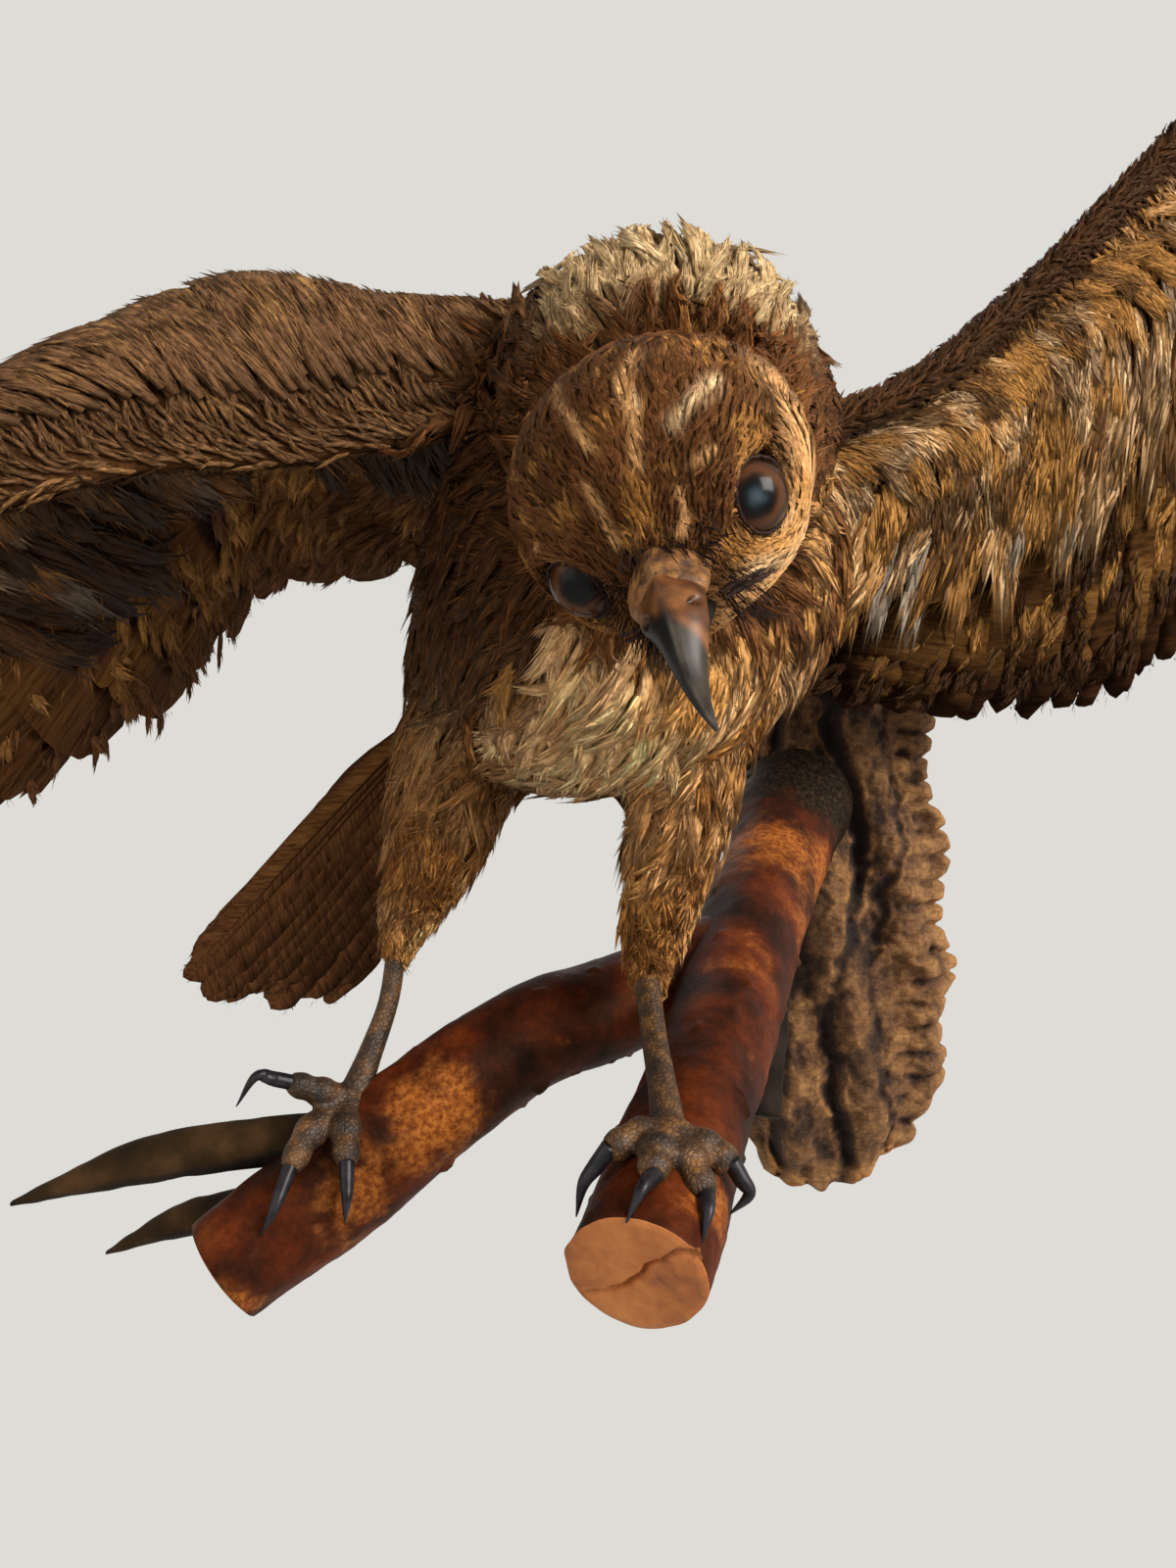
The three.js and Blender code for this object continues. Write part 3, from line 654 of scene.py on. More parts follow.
share = parts_near(spots)
inset = share @ np.array(list(COAT_DEPTH.values()))
spots = spots - outward * inset[:, None]
on_head = to_head(spots)
for centre, opening, _ in EYES.values():
    opening = unit(opening)
    away = on_head - centre
    high = away @ opening
    wide = np.linalg.norm(away - high[:, None] * opening, axis=1)
    dish = 1.6 + 1.5 * fade(wide, 4, 7.5)
    sunk = dish + (high - dish) * fade(wide, 8.2, 15)
    moved = (high > -3) & (wide < 15) & (on_head[:, 1] * centre[1] > 0)
    on_head[moved] += ((sunk - high)[:, None] * opening)[moved]
    brow = 2.4 * np.exp(-((wide - 9.5) / 2.2) ** 2) * fade(away[:, 2] - 0.2 * away[:, 0], 1, 6) * (high > -3)
    on_head += brow[:, None] * (0.5 * opening + np.array([0, 0, 0.5]))
spots = from_head(on_head)
pulled.vertices.foreach_set("co", (spots * MM).astype(np.float32).ravel())
pulled.update()

bpy.ops.object.select_all(action="DESELECT")
bpy.context.view_layer.objects.active = skin
skin.select_set(True)
pulled.uv_layers.new(name="OFBake")
bpy.ops.object.mode_set(mode="EDIT")
bpy.ops.mesh.select_all(action="SELECT")
bpy.ops.uv.smart_project(angle_limit=1.2, island_margin=0.003)
bpy.ops.object.mode_set(mode="OBJECT")
pulled = skin.data
pulled.calc_loop_triangles()
skin_spots = spots
skin_normals = read(pulled.vertices, "normal", 3)
skin_faces = read(pulled.loop_triangles, "vertices", 3, np.int32)
skin_loops = read(pulled.loop_triangles, "loops", 3, np.int32)
skin_uv = read(pulled.uv_layers["OFBake"].data, "uv", 2)[skin_loops]
skin_tree = BVHTree.FromPolygons((spots * MM).tolist(), skin_faces.tolist())


def on_skin(points):
    """The skin's nearest point to each point: its place, normal and place on the unwrap."""
    found = [skin_tree.find_nearest(Vector(p)) for p in np.asarray(points, float) * MM]
    place = np.array([hit[0] for hit in found]) / MM
    face = np.array([hit[2] for hit in found])
    a, b, c = (skin_spots[skin_faces[face, corner]] for corner in range(3))
    whole = np.maximum(np.linalg.norm(np.cross(b - a, c - a), axis=1), 1e-9)
    wa = np.linalg.norm(np.cross(b - place, c - place), axis=1) / whole
    wb = np.linalg.norm(np.cross(c - place, a - place), axis=1) / whole
    weights = np.stack([wa, wb, np.maximum(1 - wa - wb, 0)], 1)
    weights /= weights.sum(1, keepdims=True)
    normal = unit(np.einsum("fc,fcx->fx", weights, skin_normals[skin_faces[face]]))
    flat = np.einsum("fc,fcx->fx", weights, skin_uv[face])
    return place, normal, flat


# ---- The plumage's colours ------------------------------------------------------------
# Faded brown plumage: dark silky feathers with golden edges on the head, a cream ruff and
# breast with brown streaks, tawny barred thighs, and brown wings that are golden beneath.
DARK, BROWN, RUST = (paint(c) for c in ("472c17", "70492a", "8a5529"))
GOLD, CREAM, PALE = (paint(c) for c in ("cb934e", "ecb87d", "f3cfa0"))
UMBER, GREY = (paint(c) for c in ("5a391f", "9a8c7c"))


def blend_in(under, over, amount):
    """Lays one colour over another by an amount for each point."""
    return under + (over - under) * np.asarray(amount)[..., None]


# Pale lines on the head, in its own frame: half width, colour, strength, course.
HEAD_LINES = [
    (1.0, CREAM, 1.0, [
        (-17, 10, 31), (-12, 8, 31), (-9, 6, 31), (-5, 6, 28), (-1, 6, 25), (3, 4, 21), (6, 4, 19),
    ]),
    (0.5, PALE, 0.7, [(-15, 12, 30), (-8, 8, 29), (-2, 8, 26)]),
    (1.3, PALE, 0.95, [(-8, 22, 22), (-4, 17, 22), (0, 12, 21)]),
    (0.6, PALE, 0.8, [(-6, 24, 20), (-3, 19, 21)]),
    (0.6, GOLD, 0.9, [(-18, 16, 29), (-11, 14, 28)]),
    (1.0, CREAM, 0.95, [(-20, -8, 32), (-12, -7, 31), (-5, -5, 28), (-1, -4, 25)]),
    (0.6, GOLD, 0.9, [(-20, 3, 33), (-22, 9, 32)]),
    (0.6, GOLD, 0.8, [(-14, -14, 29), (-7, -14, 27), (-3, -11, 25)]),
    (0.6, GOLD, 0.9, [(-2, -5, 24), (1, -2, 23)]),
    (0.7, CREAM, 0.9, [(4, 18, 15), (6, 12, 15)]),
    (0.6, CREAM, 0.8, [(6, 18, 12), (8, 15, 11)]),
    (0.7, GOLD, 0.9, [(-22, 20, 26), (-21, 25, 23)]),
    (0.7, GOLD, 0.9, [(-14, 24, 23), (-14, 31, 14), (-15, 33, 4), (-14, 32, 0)]),
    (0.6, GOLD, 0.8, [(-8, 24, 18), (-12, 31, 9)]),
    (0.8, CREAM, 0.7, [(1, -24, 13), (4, -19, 8), (8, -14, 1)]),
    (0.9, CREAM, 0.8, [(4, -7, 20), (10, -6, 15), (13, -6, 10)]),
    (0.9, GOLD, 0.8, [(5, 2, 19), (12, 2, 13), (15, 3, 8)]),
    (0.7, CREAM, 0.7, [(10, 9, 13), (12, 9, 10), (15, 6, 7)]),
    (5.6, CREAM, 1.0, [(-18, 29, 12), (-9, 32, 0), (-5, 31, -8), (2, 24, -14), (9, 14, -16), (12, 8, -10)]),
    (3.8, PALE, 0.9, [(11, 15, -8), (5, 22, -11), (-1, 26, -9)]),
    (3.0, GOLD, 0.85, [(14, 13, -1), (10, 17, -5), (3, 21, -10), (-2, 25, -9), (-6, 28, -5)]),
    (5.5, GOLD, 0.9, [(14, 1, -17), (6, 8, -20), (-4, 14, -20)]),
    (3.0, CREAM, 0.8, [(14, 6, -14), (7, 13, -17), (0, 19, -17)]),
    (3.2, GOLD, 0.5, [(12, -9, -6), (4, -18, -10), (-6, -26, -6)]),
    (0.9, DARK * 0.3, 0.9, [(18, 9, -7), (13, 12, -9), (9, 15, -11), (5, 18, -13), (2, 20, -14)]),
]
# Patches of the breast and shoulders, in the frame: half width, middle, edge, strength, course.
BODY_PATCHES = [
    (9, CREAM, PALE, 1.0, [(-121, -266, 58), (-117, -257, 45), (-113, -245, 34), (-118, -234, 24)]),
    (8, CREAM, PALE, 0.9, [(-104, -259, 43), (-96, -250, 34), (-101, -232, 22)]),
    (5, GOLD, CREAM, 0.9, [(-55, -236, 55), (-68, -242, 43), (-84, -239, 30), (-96, -230, 20)]),
    (4, CREAM, PALE, 0.8, [(-46, -228, 66), (-60, -240, 52), (-76, -243, 38)]),
    (4, GOLD, CREAM, 0.9, [(-68, -236, 34), (-84, -232, 20)]),
    (5, DARK, RUST, 0.9, [(-58, -254, 72), (-64, -256, 66)]),
    (4, DARK * 0.6, BROWN, 0.9, [(-77, -259, 54), (-71, -253, 51), (-67, -245, 47)]),
    (9, GOLD, CREAM, 0.8, [(-66, -258, 56), (-82, -262, 48), (-92, -262, 40)]),
    (8, RUST, RUST, 0.8, [(-42, -222, 96), (-50, -236, 78)]),
    (4, GOLD, GOLD, 0.9, [(-138, -251, 57), (-134, -245, 45)]),
    (4, CREAM, PALE, 0.7, [(-30, -205, 105), (-44, -230, 90)]),
    (8, GOLD, CREAM, 0.8, [(-55, -263, 100), (-54, -256, 88), (-54, -248, 74)]),
    (6, CREAM, PALE, 0.8, [(-50, -246, 108), (-40, -225, 102)]),
    (5, RUST, GOLD, 0.8, [(-42, -236, 88), (-42, -230, 68)]),
    (7, GOLD, GOLD, 0.6, [(-92, -262, 50), (-76, -258, 42)]),
]


def near_line(points, course):
    """How far the points are from the nearest part of a course."""
    course = np.array(course, float)
    apart = np.full(len(points), 9e9)
    for a, b in zip(course[:-1], course[1:]):
        t = np.clip((points - a) @ (b - a) / ((b - a) @ (b - a)), 0, 1)
        apart = np.minimum(apart, np.linalg.norm(points - a - t[:, None] * (b - a), axis=1))
    return apart


def on_lines(face, head, middle, edge):
    """Adds the head's pale lines to the two colours of its feathers."""
    wobble = 0.45 * speckle(face, 3.2, 5)
    for wide, colour, strength, course in HEAD_LINES:
        line = head * strength * np.exp(-(np.maximum(near_line(face, course) + wobble, 0) / wide) ** 2)
        middle = blend_in(middle, colour * 0.8, line)
        edge = blend_in(edge, np.minimum(colour * 1.15, 1), line)
    return middle, edge


def plumage(points, share, lines=1.0):
    """The colour of a feather's middle and of its edge, for feathers rooted at the points."""
    shares = dict(zip(COAT_DEPTH, share.T))
    face = to_head(points)
    x, y, z = face.T
    big, small = speckle(points, 15, 1), speckle(points, 6, 2)
    middle = blend_in(BROWN, DARK, fade(big + 0.3 * small, -0.4, 0.3) * 0.8)
    edge = blend_in(middle, RUST, 0.6)
    head = shares["head"] + shares["neck"] * fade(x, -70, -62) * fade(z, -4, 6)
    golden = fade(speckle(points, 7, 7) + 0.6 * speckle(points, 3, 3), 0.4, 0.7) * head
    middle = blend_in(middle, GOLD, golden * 0.45)
    edge = blend_in(edge, GOLD, golden * 0.6)
    middle, edge = on_lines(face, head * lines, middle, edge)
    # the cream ruff behind the crown, and the cream and golden breast
    behind = fade(-x, 62, 70) * fade(z, -30, -16) * (shares["neck"] + shares["trunk"])
    ruff = behind * fade(-np.abs(points[:, 0] + 95), -38, -26) * fade(big + small, -1.1, -0.5)
    middle = blend_in(middle, paint("c4a474"), ruff * 0.95)
    edge = blend_in(edge, paint("e2c89c"), ruff)
    body = shares["trunk"] + shares["neck"] * (1 - ruff)
    front = body * fade(-points[:, 1], 190, 225)
    below = front * fade(-points[:, 2], -66, -40)
    streaks = fade(speckle(points * (1, 1, 0.45), 6, 11) + 0.4 * small, -0.5, 0.2)
    middle = blend_in(middle, blend_in(RUST, CREAM, streaks), below * 0.85)
    edge = blend_in(edge, blend_in(GOLD, PALE, streaks), below)
    # The breast's upper side on the bird's right, under the right wing, is painted darker: painted shade.
    flank_shade = front * fade(-points[:, 0], 120, 130) * fade(points[:, 2], 34, 46)
    middle = blend_in(middle, DARK * 0.7, flank_shade * 0.9)
    edge = blend_in(edge, RUST * 0.6, flank_shade * 0.9)
    for wide, under, over, strength, course in BODY_PATCHES:
        inside = -near_line(points, course) + 2.5 * small * wide / 6
        patch = body * strength * fade(inside, -wide * 1.2, -wide * 0.5)
        middle, edge = blend_in(middle, under, patch), blend_in(edge, over, patch)
    thigh = shares["thigh_left"] + shares["thigh_right"]
    bars = fade(speckle(points, 5, 12) + 0.4 * small, -0.2, 0.3)
    tawny = blend_in(GOLD, UMBER, bars * 0.8)
    middle = blend_in(middle, tawny, thigh * 0.95)
    edge = blend_in(edge, blend_in(CREAM, RUST, fade(big, -0.5, 0.3)), thigh)
    lighter = (1 + 0.25 * head + 0.25 * thigh + 0.25 * below)[:, None]
    return np.clip(middle * lighter, 0, 1), np.clip(edge * lighter, 0, 1)


share = parts_near(skin_spots)
middle, edge = plumage(skin_spots, share)
tint(skin, "plumage", middle * 0.35 + edge * 0.1)
stand_in(skin, "contour_feathers", *COAT_DEPTH)

# ---- How a feather is made ------------------------------------------------------------
# A small feather is a narrow soft vane with loose silky barbs that run along it and past its
# tip. They overlap like hair, and each barb has its own shade between the two colours.
draw = np.random.default_rng(41)


def vane_grid(stations, strips, outline):
    """A thin closed sheet, root to tip: points (along, across in half widths, up), and triangles."""
    corners, faces = [], []
    for s in np.linspace(0.0, 1, stations)[:-1]:
        for w in np.linspace(-1, 1, strips + 1):
            corners.append((s, w * outline(s), 1 - w * w))
    corners.append((1.0, 0, 0.3))
    wide = strips + 1
    last = (stations - 2) * wide
    tip = len(corners) - 1
    for row in range(stations - 2):
        a = row * wide
        for k in range(strips):
            faces += [(a + k, a + k + 1 + wide, a + k + 1), (a + k, a + k + wide, a + k + 1 + wide)]
        faces += [(a + strips, a + wide, a), (a + strips, a + strips + wide, a + wide)]
    for k in range(strips):
        faces.append((last + k, tip, last + k + 1))
    faces.append((last + strips, tip, last))
    for k in range(1, strips):
        faces.append((0, k, k + 1))
    return corners, faces


def plume_of(hairs, seed, splay=0.35, hair_wide=0.13, full=0.8):
    """A small feather: a lance-shaped vane and its loose barbs.

    It gives points, triangles, the barb of each point (0 is the vane), and 1 at barb tips.
    """
    pick = np.random.default_rng(seed)

    def outline(s):
        return full * np.sin(np.clip(0.12 + 0.8 * s, 0, 1) * math.pi) ** 0.7

    corners, faces = vane_grid(4, 2, outline)
    lock_of, tip_of = [0] * len(corners), [0.0] * len(corners)
    for number in range(hairs):
        start = 0.02 + 0.74 * (number + pick.random()) / hairs
        here = pick.uniform(-0.9, 0.9) * float(outline(start))
        end = min(start + pick.uniform(0.3, 0.52), 1 + 0.14 * pick.random())
        there = here * (1 - 0.35 * start) + splay * pick.uniform(-1, 1)
        first = len(corners)
        wide = hair_wide * pick.uniform(0.6, 1.2)
        corners += [
            (start, here - wide, 0.1),
            (start, here + wide, 0.1),
            (start + 0.4 * (end - start), here * 0.6 + there * 0.4, 1.7),
            (end, there, pick.uniform(0.2, 2.2)),
        ]
        lock_of += [number + 1] * 4
        tip_of += [0.0, 0.0, 0.3, 1.0]
        faces += [(first, first + 1, first + 3), (first, first + 3, first + 2),
                  (first + 1, first + 2, first + 3), (first, first + 2, first + 1)]
    return np.array(corners, float), np.array(faces), np.array(lock_of), np.array(tip_of)


def between(lines, row, step, part):
    """Points part of the way from one sample of a line to its next."""
    return lines[row, step] * (1 - part) + lines[row, step + 1] * part


def lay_flat(made, flat, faces):
    """Gives the corners of a piece's triangles their places on its unwrap."""
    layer = made.data.uv_layers.new(name="OFBake")
    layer.data.foreach_set("uv", flat[faces.ravel()].astype(np.float32).ravel())


def dress(name, shafts, normals, half_wide, pattern, colour_of, flat, slot="contour_feathers",
          thick=0.3, ragged=0.15, droop=0.05, patch=0.003, finish=None, wear=None, curl=0.5,
          overlay=None):
    """Makes one piece of feathers. shafts are (feathers, samples, 3) points from root to tip."""
    corners, faces, lock_of, tip_of = pattern
    feathers, samples, _ = shafts.shape
    locks = lock_of.max() + 1
    along = corners[None, :, 0] + draw.normal(0, ragged * 0.4, (feathers, locks))[:, lock_of] * tip_of
    across = corners[None, :, 1] + draw.normal(0, ragged * 1.6, (feathers, locks))[:, lock_of] * tip_of
    across = across + draw.normal(0, curl, (feathers, 1)) * along ** 2
    lift = draw.normal(0, 0.8, (feathers, locks))[:, lock_of] * tip_of
    if wear:
        along, across = wear(along, across)
    place = np.clip(along, 0, 1.15) * (samples - 1)
    step = np.clip(place.astype(int), 0, samples - 2)
    part = (place - step)[..., None]
    row = np.arange(feathers)[:, None]
    ahead = unit(np.diff(shafts, axis=1))
    ahead = np.concatenate([ahead, ahead[:, -1:]], 1)
    up = unit(normals - ahead * np.einsum("fsx,fsx->fs", normals, ahead)[..., None])
    beside = np.cross(up, ahead)
    middle_line, up, beside = (between(lines, row, step, part) for lines in (shafts, up, beside))
    wide = np.asarray(half_wide, float).reshape(feathers, 1)
    rise = (corners[None, :, 2] + lift) * thick - droop * wide * across ** 2
    points = middle_line + beside * (across * wide)[..., None] + up * rise[..., None]
    count = corners.shape[0]
    all_faces = (faces[None] + (np.arange(feathers) * count)[:, None, None]).reshape(-1, 3)
    made = piece(name, points.reshape(-1, 3), all_faces, finish or feather_finish)
    colour = colour_of(along, across, lock_of, locks).reshape(-1, 3)
    if overlay:
        colour = overlay(points.reshape(-1, 3), colour)
    tint(made, "plumage", np.clip(colour, 0.002, 1))
    if wear:
        lie = np.stack([along - 0.06 * np.abs(across), 0.3 * across, row / feathers + 0 * along], -1)
        tint(made, "barb_lie", lie.reshape(-1, 3))
    reach = [(np.clip(along, 0, 1.1) - 0.5) * patch * 0.8, np.clip(across, -1.1, 1.1) * patch * 0.4]
    spread = np.stack(reach, -1) + flat[:, None]
    lay_flat(made, spread.reshape(-1, 2), all_faces)
    stand_in(made, slot)
    return made


def silky(middle, edge, streaky=0.38):
    """Colours a small feather: darker at the root as painted shade under the feathers over it, every barb
    somewhere between middle and edge.
    """
    def colour_of(along, _across, lock_of, locks):
        feathers = len(middle)
        mix = draw.normal(0.3, streaky, (feathers, locks))
        mix[:, 0] = 0.2
        mix = np.clip(mix[:, lock_of] + 0.3 * fade(along, 0.5, 1.05), 0, 1)
        shade = 1 + draw.normal(0, 0.08, (feathers, 1)) + draw.normal(0, 0.16, (feathers, locks))[:, lock_of]
        # Each barb is painted darker towards its root, a painted shade where the feathers overlap, on top of
        # its own random tone.
        shade = np.clip(shade, 0.5, 1.6) * (0.66 + 0.34 * fade(along, 0.05, 0.45))
        return blend_in(middle[:, None], edge[:, None], mix) * shade[..., None]
    return colour_of


feather_finish, tree, shader = blank_finish("barbs", 0.65, 0.2, TAWNY_SHINE)
dust = noise(tree, place_on(tree), 700, 3)
feed(tree, shader, dirtied(tree, stored(tree, "plumage", "Color"), dust, 0.3, 0.7, "d2cdc8"))

# ---- The body's feathers --------------------------------------------------------------
# The small feathers of the head, neck, trunk and thighs. They start on the skin, lie away
# from the bill and towards the tail and toes, and are smallest on the face.
edges = skin_spots[skin_faces]
areas = np.linalg.norm(np.cross(edges[:, 1] - edges[:, 0], edges[:, 2] - edges[:, 0]), axis=1) / 2
face_share = share[skin_faces].mean(1)
column = {part: place for place, part in enumerate(COAT_DEPTH)}
HEADING = unit([0.46, -0.74, 0.49])
THIGH_DOWN = {"thigh_right": unit([-30, 15, -95]), "thigh_left": unit([-15, 17, -100])}
NAPE = from_head((-24, 0, 2))
CANDIDATE_AREA = 0.9
OWN_SHARE = 0.34
WALK_SAMPLES = 6


def lie(points, share):
    """Which way the feathers lie at the points, along the skin or nearly so."""
    face = to_head(points)
    near_head = share[:, column["head"]]
    away = unit(face - (26, 0, -2))
    for centre, opening, _ in EYES.values():
        reach_out = face - centre
        apart = np.linalg.norm(reach_out, axis=1, keepdims=True)
        inward = np.minimum(np.einsum("ij,ij->i", away, reach_out)[:, None] / apart, 0)
        away = away - reach_out / apart * inward * (1 - fade(apart, 12, 20))
        axis = unit(opening)
        radial = reach_out - (reach_out @ axis)[:, None] * axis
        wide = np.linalg.norm(radial, axis=1)
        side = 1 if centre[1] > 0 else -1
        rear = radial @ unit(np.cross(axis, (0, 0, -side)))
        below = 1 - fade(radial[:, 2] - 0.7 * np.maximum(rear, 0), -2, 4)
        ring = below * fade(wide, 5, 9) * (1 - fade(wide, 17, 24)) * (reach_out @ axis > -6)
        away = away * (1 - ring[:, None]) + unit(np.cross(axis * side, radial)) * ring[:, None]
    away = unit(away @ HEAD_AXES)
    from_nape = unit(points - NAPE)
    tailward = unit(-HEADING + np.array([0, 0, -0.25]))
    reach_down = fade(np.linalg.norm(points - NAPE, axis=1), 48, 105)[:, None]
    trunk_way = unit(from_nape * (1 - reach_down) + tailward * reach_down)
    way = away * near_head[:, None] + trunk_way * (1 - near_head)[:, None]
    for part, down in THIGH_DOWN.items():
        thigh = share[:, column[part]][:, None]
        way = way * (1 - thigh) + down * thigh
    return unit(way)


def scatter(points, spacing):
    """Picks a spread-out choice of the points, each its own spacing from the others."""
    cell = spacing.max()
    beside = [(a, b, c) for a in (-1, 0, 1) for b in (-1, 0, 1) for c in (-1, 0, 1)]
    grid, kept = {}, []
    for index, (i, j, k) in enumerate(np.floor(points / cell).astype(int).tolist()):
        near = [other for a, b, c in beside for other in grid.get((i + a, j + b, k + c), ())]
        if near and ((points[near] - points[index]) ** 2).sum(1).min() < spacing[index] ** 2:
            continue
        grid.setdefault((i, j, k), []).append(index)
        kept.append(index)
    return np.array(kept)


def walk(roots, way_of, lengths, rise):
    """Follows the lie over the skin from each root; the shafts rise by `rise` at their tips."""
    place, normal, flat = on_skin(roots)
    shafts, normals = [place], [normal]
    spot, bend = place, np.zeros(place.shape)
    for _ in range(1, WALK_SAMPLES):
        bend = bend + draw.normal(0, 0.16, bend.shape)
        way = way_of(spot) + bend
        way = unit(way - normal * np.einsum("ij,ij->i", way, normal)[:, None])
        stride = (lengths / (WALK_SAMPLES - 1))[:, None]
        found, normal, _ = on_skin(spot + way * stride)
        moved = found - spot
        far = np.linalg.norm(moved, axis=1, keepdims=True)
        spot = spot + moved * np.minimum(1, 1.3 * stride / np.maximum(far, 1e-6))
        shafts.append(spot)
        normals.append(normal)
    shafts, normals = np.stack(shafts, 1), np.stack(normals, 1)
    climb = np.linspace(0, 1, WALK_SAMPLES) ** 0.8
    shafts = shafts + normals * (0.2 + rise[:, None] * climb)[..., None]
    return shafts, normals, flat


def body_feathers(names, members, length_of, ratio, spacing_share, rise_of, pattern,
                  where_to=None, colours=plumage, way_for=None, streaky=0.38, **looks):
    """Covers part of the skin, in pieces that each keep below 200,000 triangles."""
    weight = face_share[:, [column[m] for m in members]].sum(1)
    if where_to is not None:
        weight = np.where(where_to(edges.mean(1)), weight, 0)
    chance = areas * (weight > OWN_SHARE)
    number = int(chance.sum() / CANDIDATE_AREA)
    pick = draw.choice(len(areas), number, p=chance / chance.sum())
    a, b = draw.random((2, number, 1))
    over = a + b > 1
    a, b = np.where(over, 1 - a, a), np.where(over, 1 - b, b)
    spots = edges[pick, 0] * (1 - a - b) + edges[pick, 1] * a + edges[pick, 2] * b
    lengths = length_of(spots)
    kept = scatter(spots, lengths * spacing_share)
    spots, lengths = spots[kept], lengths[kept] * draw.uniform(0.8, 1.2, len(kept))
    own_share = face_share[pick[kept]]
    turn = draw.normal(0, 0.12, (len(kept), 3))
    way_of = (lambda at: unit(lie(at, own_share) + turn)) if way_for is None else way_for(turn)
    rise = lengths * rise_of(spots) * draw.uniform(0.5, 1.5, len(kept))
    shafts, normals, flat = walk(spots, way_of, lengths, rise)
    middle, edge = colours(shafts[:, 3], own_share)
    order = np.array_split(np.argsort(spots[:, 0]), len(names))
    for name, group in zip(names, order):
        dress(name, shafts[group], normals[group], lengths[group] * ratio, pattern,
              silky(middle[group], edge[group], streaky), flat[group], **looks)


def head_length(points):
    """Feather lengths on the head: short at the bill and the eyes, longer on the nape."""
    face = to_head(points)
    longer = fade(-face[:, 0], -12, 26)
    near_eye = np.min([np.linalg.norm(face - centre, axis=1) for centre, _, _ in EYES.values()], 0)
    return 4.2 + 8.5 * longer * fade(near_eye, 8, 20) + 8 * fade(-face[:, 0], 12, 30)


def clear_of_face(points):
    """True where the head's skin isn't bill, gape or eye."""
    face = to_head(points)
    open_skin = face[:, 0] < 20.5
    for centre, opening, _ in EYES.values():
        away = face - centre
        high = away @ unit(opening)
        wide = np.linalg.norm(away - high[:, None] * unit(opening), axis=1)
        open_skin &= ~((wide < 7.7) & (high > -2))
    return open_skin


def neck_length(points):
    """Feather lengths on the neck, longest low on its back."""
    return 14 + 9 * fade(-to_head(points)[:, 0], 62, 85)


def neck_rise(points):
    """The ruff behind the crown stands up in tufts."""
    face = to_head(points)
    return 0.12 + 0.2 * fade(-face[:, 0], 60, 72) * fade(face[:, 2], -6, 8)


def thigh_length(points):
    """Feather lengths on the thighs, shorter towards the feet."""
    return 9 + 9 * fade(points[:, 2], -40, 10)


def same(value):
    """A length or a rise that is the same for every feather."""
    return lambda points: np.full(len(points), float(value))


def golden_hairs(points, colour):
    """The pale lines, drawn hair by hair over the head's feathers."""
    shade = colour.mean(1, keepdims=True) / 0.16
    middle, edge = on_lines(to_head(points), np.ones(len(points)), colour, colour)
    lit = np.abs(edge - colour).max(1, keepdims=True) > 0.01
    gilded = (0.35 * middle + 0.65 * edge - colour) * np.clip(0.6 + 0.7 * shade, 0.7, 1.45)
    return np.where(lit, colour + gilded, colour)


def faint_lines(points, share):
    """The plumage with the pale lines weak, because golden_hairs draws them again."""
    return plumage(points, share, 0.3)


body_feathers(["head_feathers_right", "head_feathers_left"], ["head"], head_length, 0.13, 0.15, same(0.05),
              plume_of(18, 2, hair_wide=0.085, full=0.6), where_to=clear_of_face, colours=faint_lines,
              streaky=0.28, thick=0.11, ragged=0.1, overlay=golden_hairs)
body_feathers(["neck_feathers_right", "neck_feathers_left"], ["neck"], neck_length, 0.12, 0.125, neck_rise,
              plume_of(16, 3, hair_wide=0.14))
body_feathers(["trunk_feathers_right", "trunk_feathers_left"], ["trunk"], same(27), 0.115, 0.135, same(0.12),
              plume_of(18, 4, hair_wide=0.14))
for side in ("right", "left"):
    body_feathers([f"thigh_feathers_{side}"], [f"thigh_{side}"], thigh_length, 0.15, 0.17, same(0.14),
                  plume_of(18, 5, splay=0.6), ragged=0.25)

# ---- The wings ------------------------------------------------------------------------
# Each wing is a folded arm and a spread hand. Rows of coverts lie back from the leading edge
# over both faces, and the long flight feathers fan out from under them, one over the next.
# Each folded arm, shoulder to wrist: leading edge, crest, bone and feather tip of a section.
ARM_RIBS = {
    "right": [
        [(-126, -262, 116), (-128, -248, 146), (-130, -220, 146), (-150, -132, 100)],
        [(-162, -276, 107), (-168, -259, 143), (-172, -223, 145), (-205, -104, 102)],
        [(-190, -285, 99), (-202, -270, 143), (-218, -225, 145), (-239, -110, 92)],
        [(-219, -299, 94), (-227, -281, 130), (-255, -250, 116), (-265, -130, 57)],
        [(-266, -318, 74), (-272, -307, 95), (-285, -288, 89), (-303, -175, 17)],
    ],
    "left": [
        [(-62, -214, 122), (-54, -196, 132), (-44, -176, 118), (-24, -114, 50)],
        [(-12, -202, 146), (-9, -180, 152), (2, -158, 138), (30, -97, 46)],
        [(29, -188, 184), (27, -170, 180), (36, -148, 158), (69, -85, 49)],
        [(57, -180, 214), (57, -164, 208), (64, -152, 188), (104, -80, 54)],
        [(92, -173, 252), (92, -162, 246), (98, -154, 228), (135, -75, 68)],
    ],
}
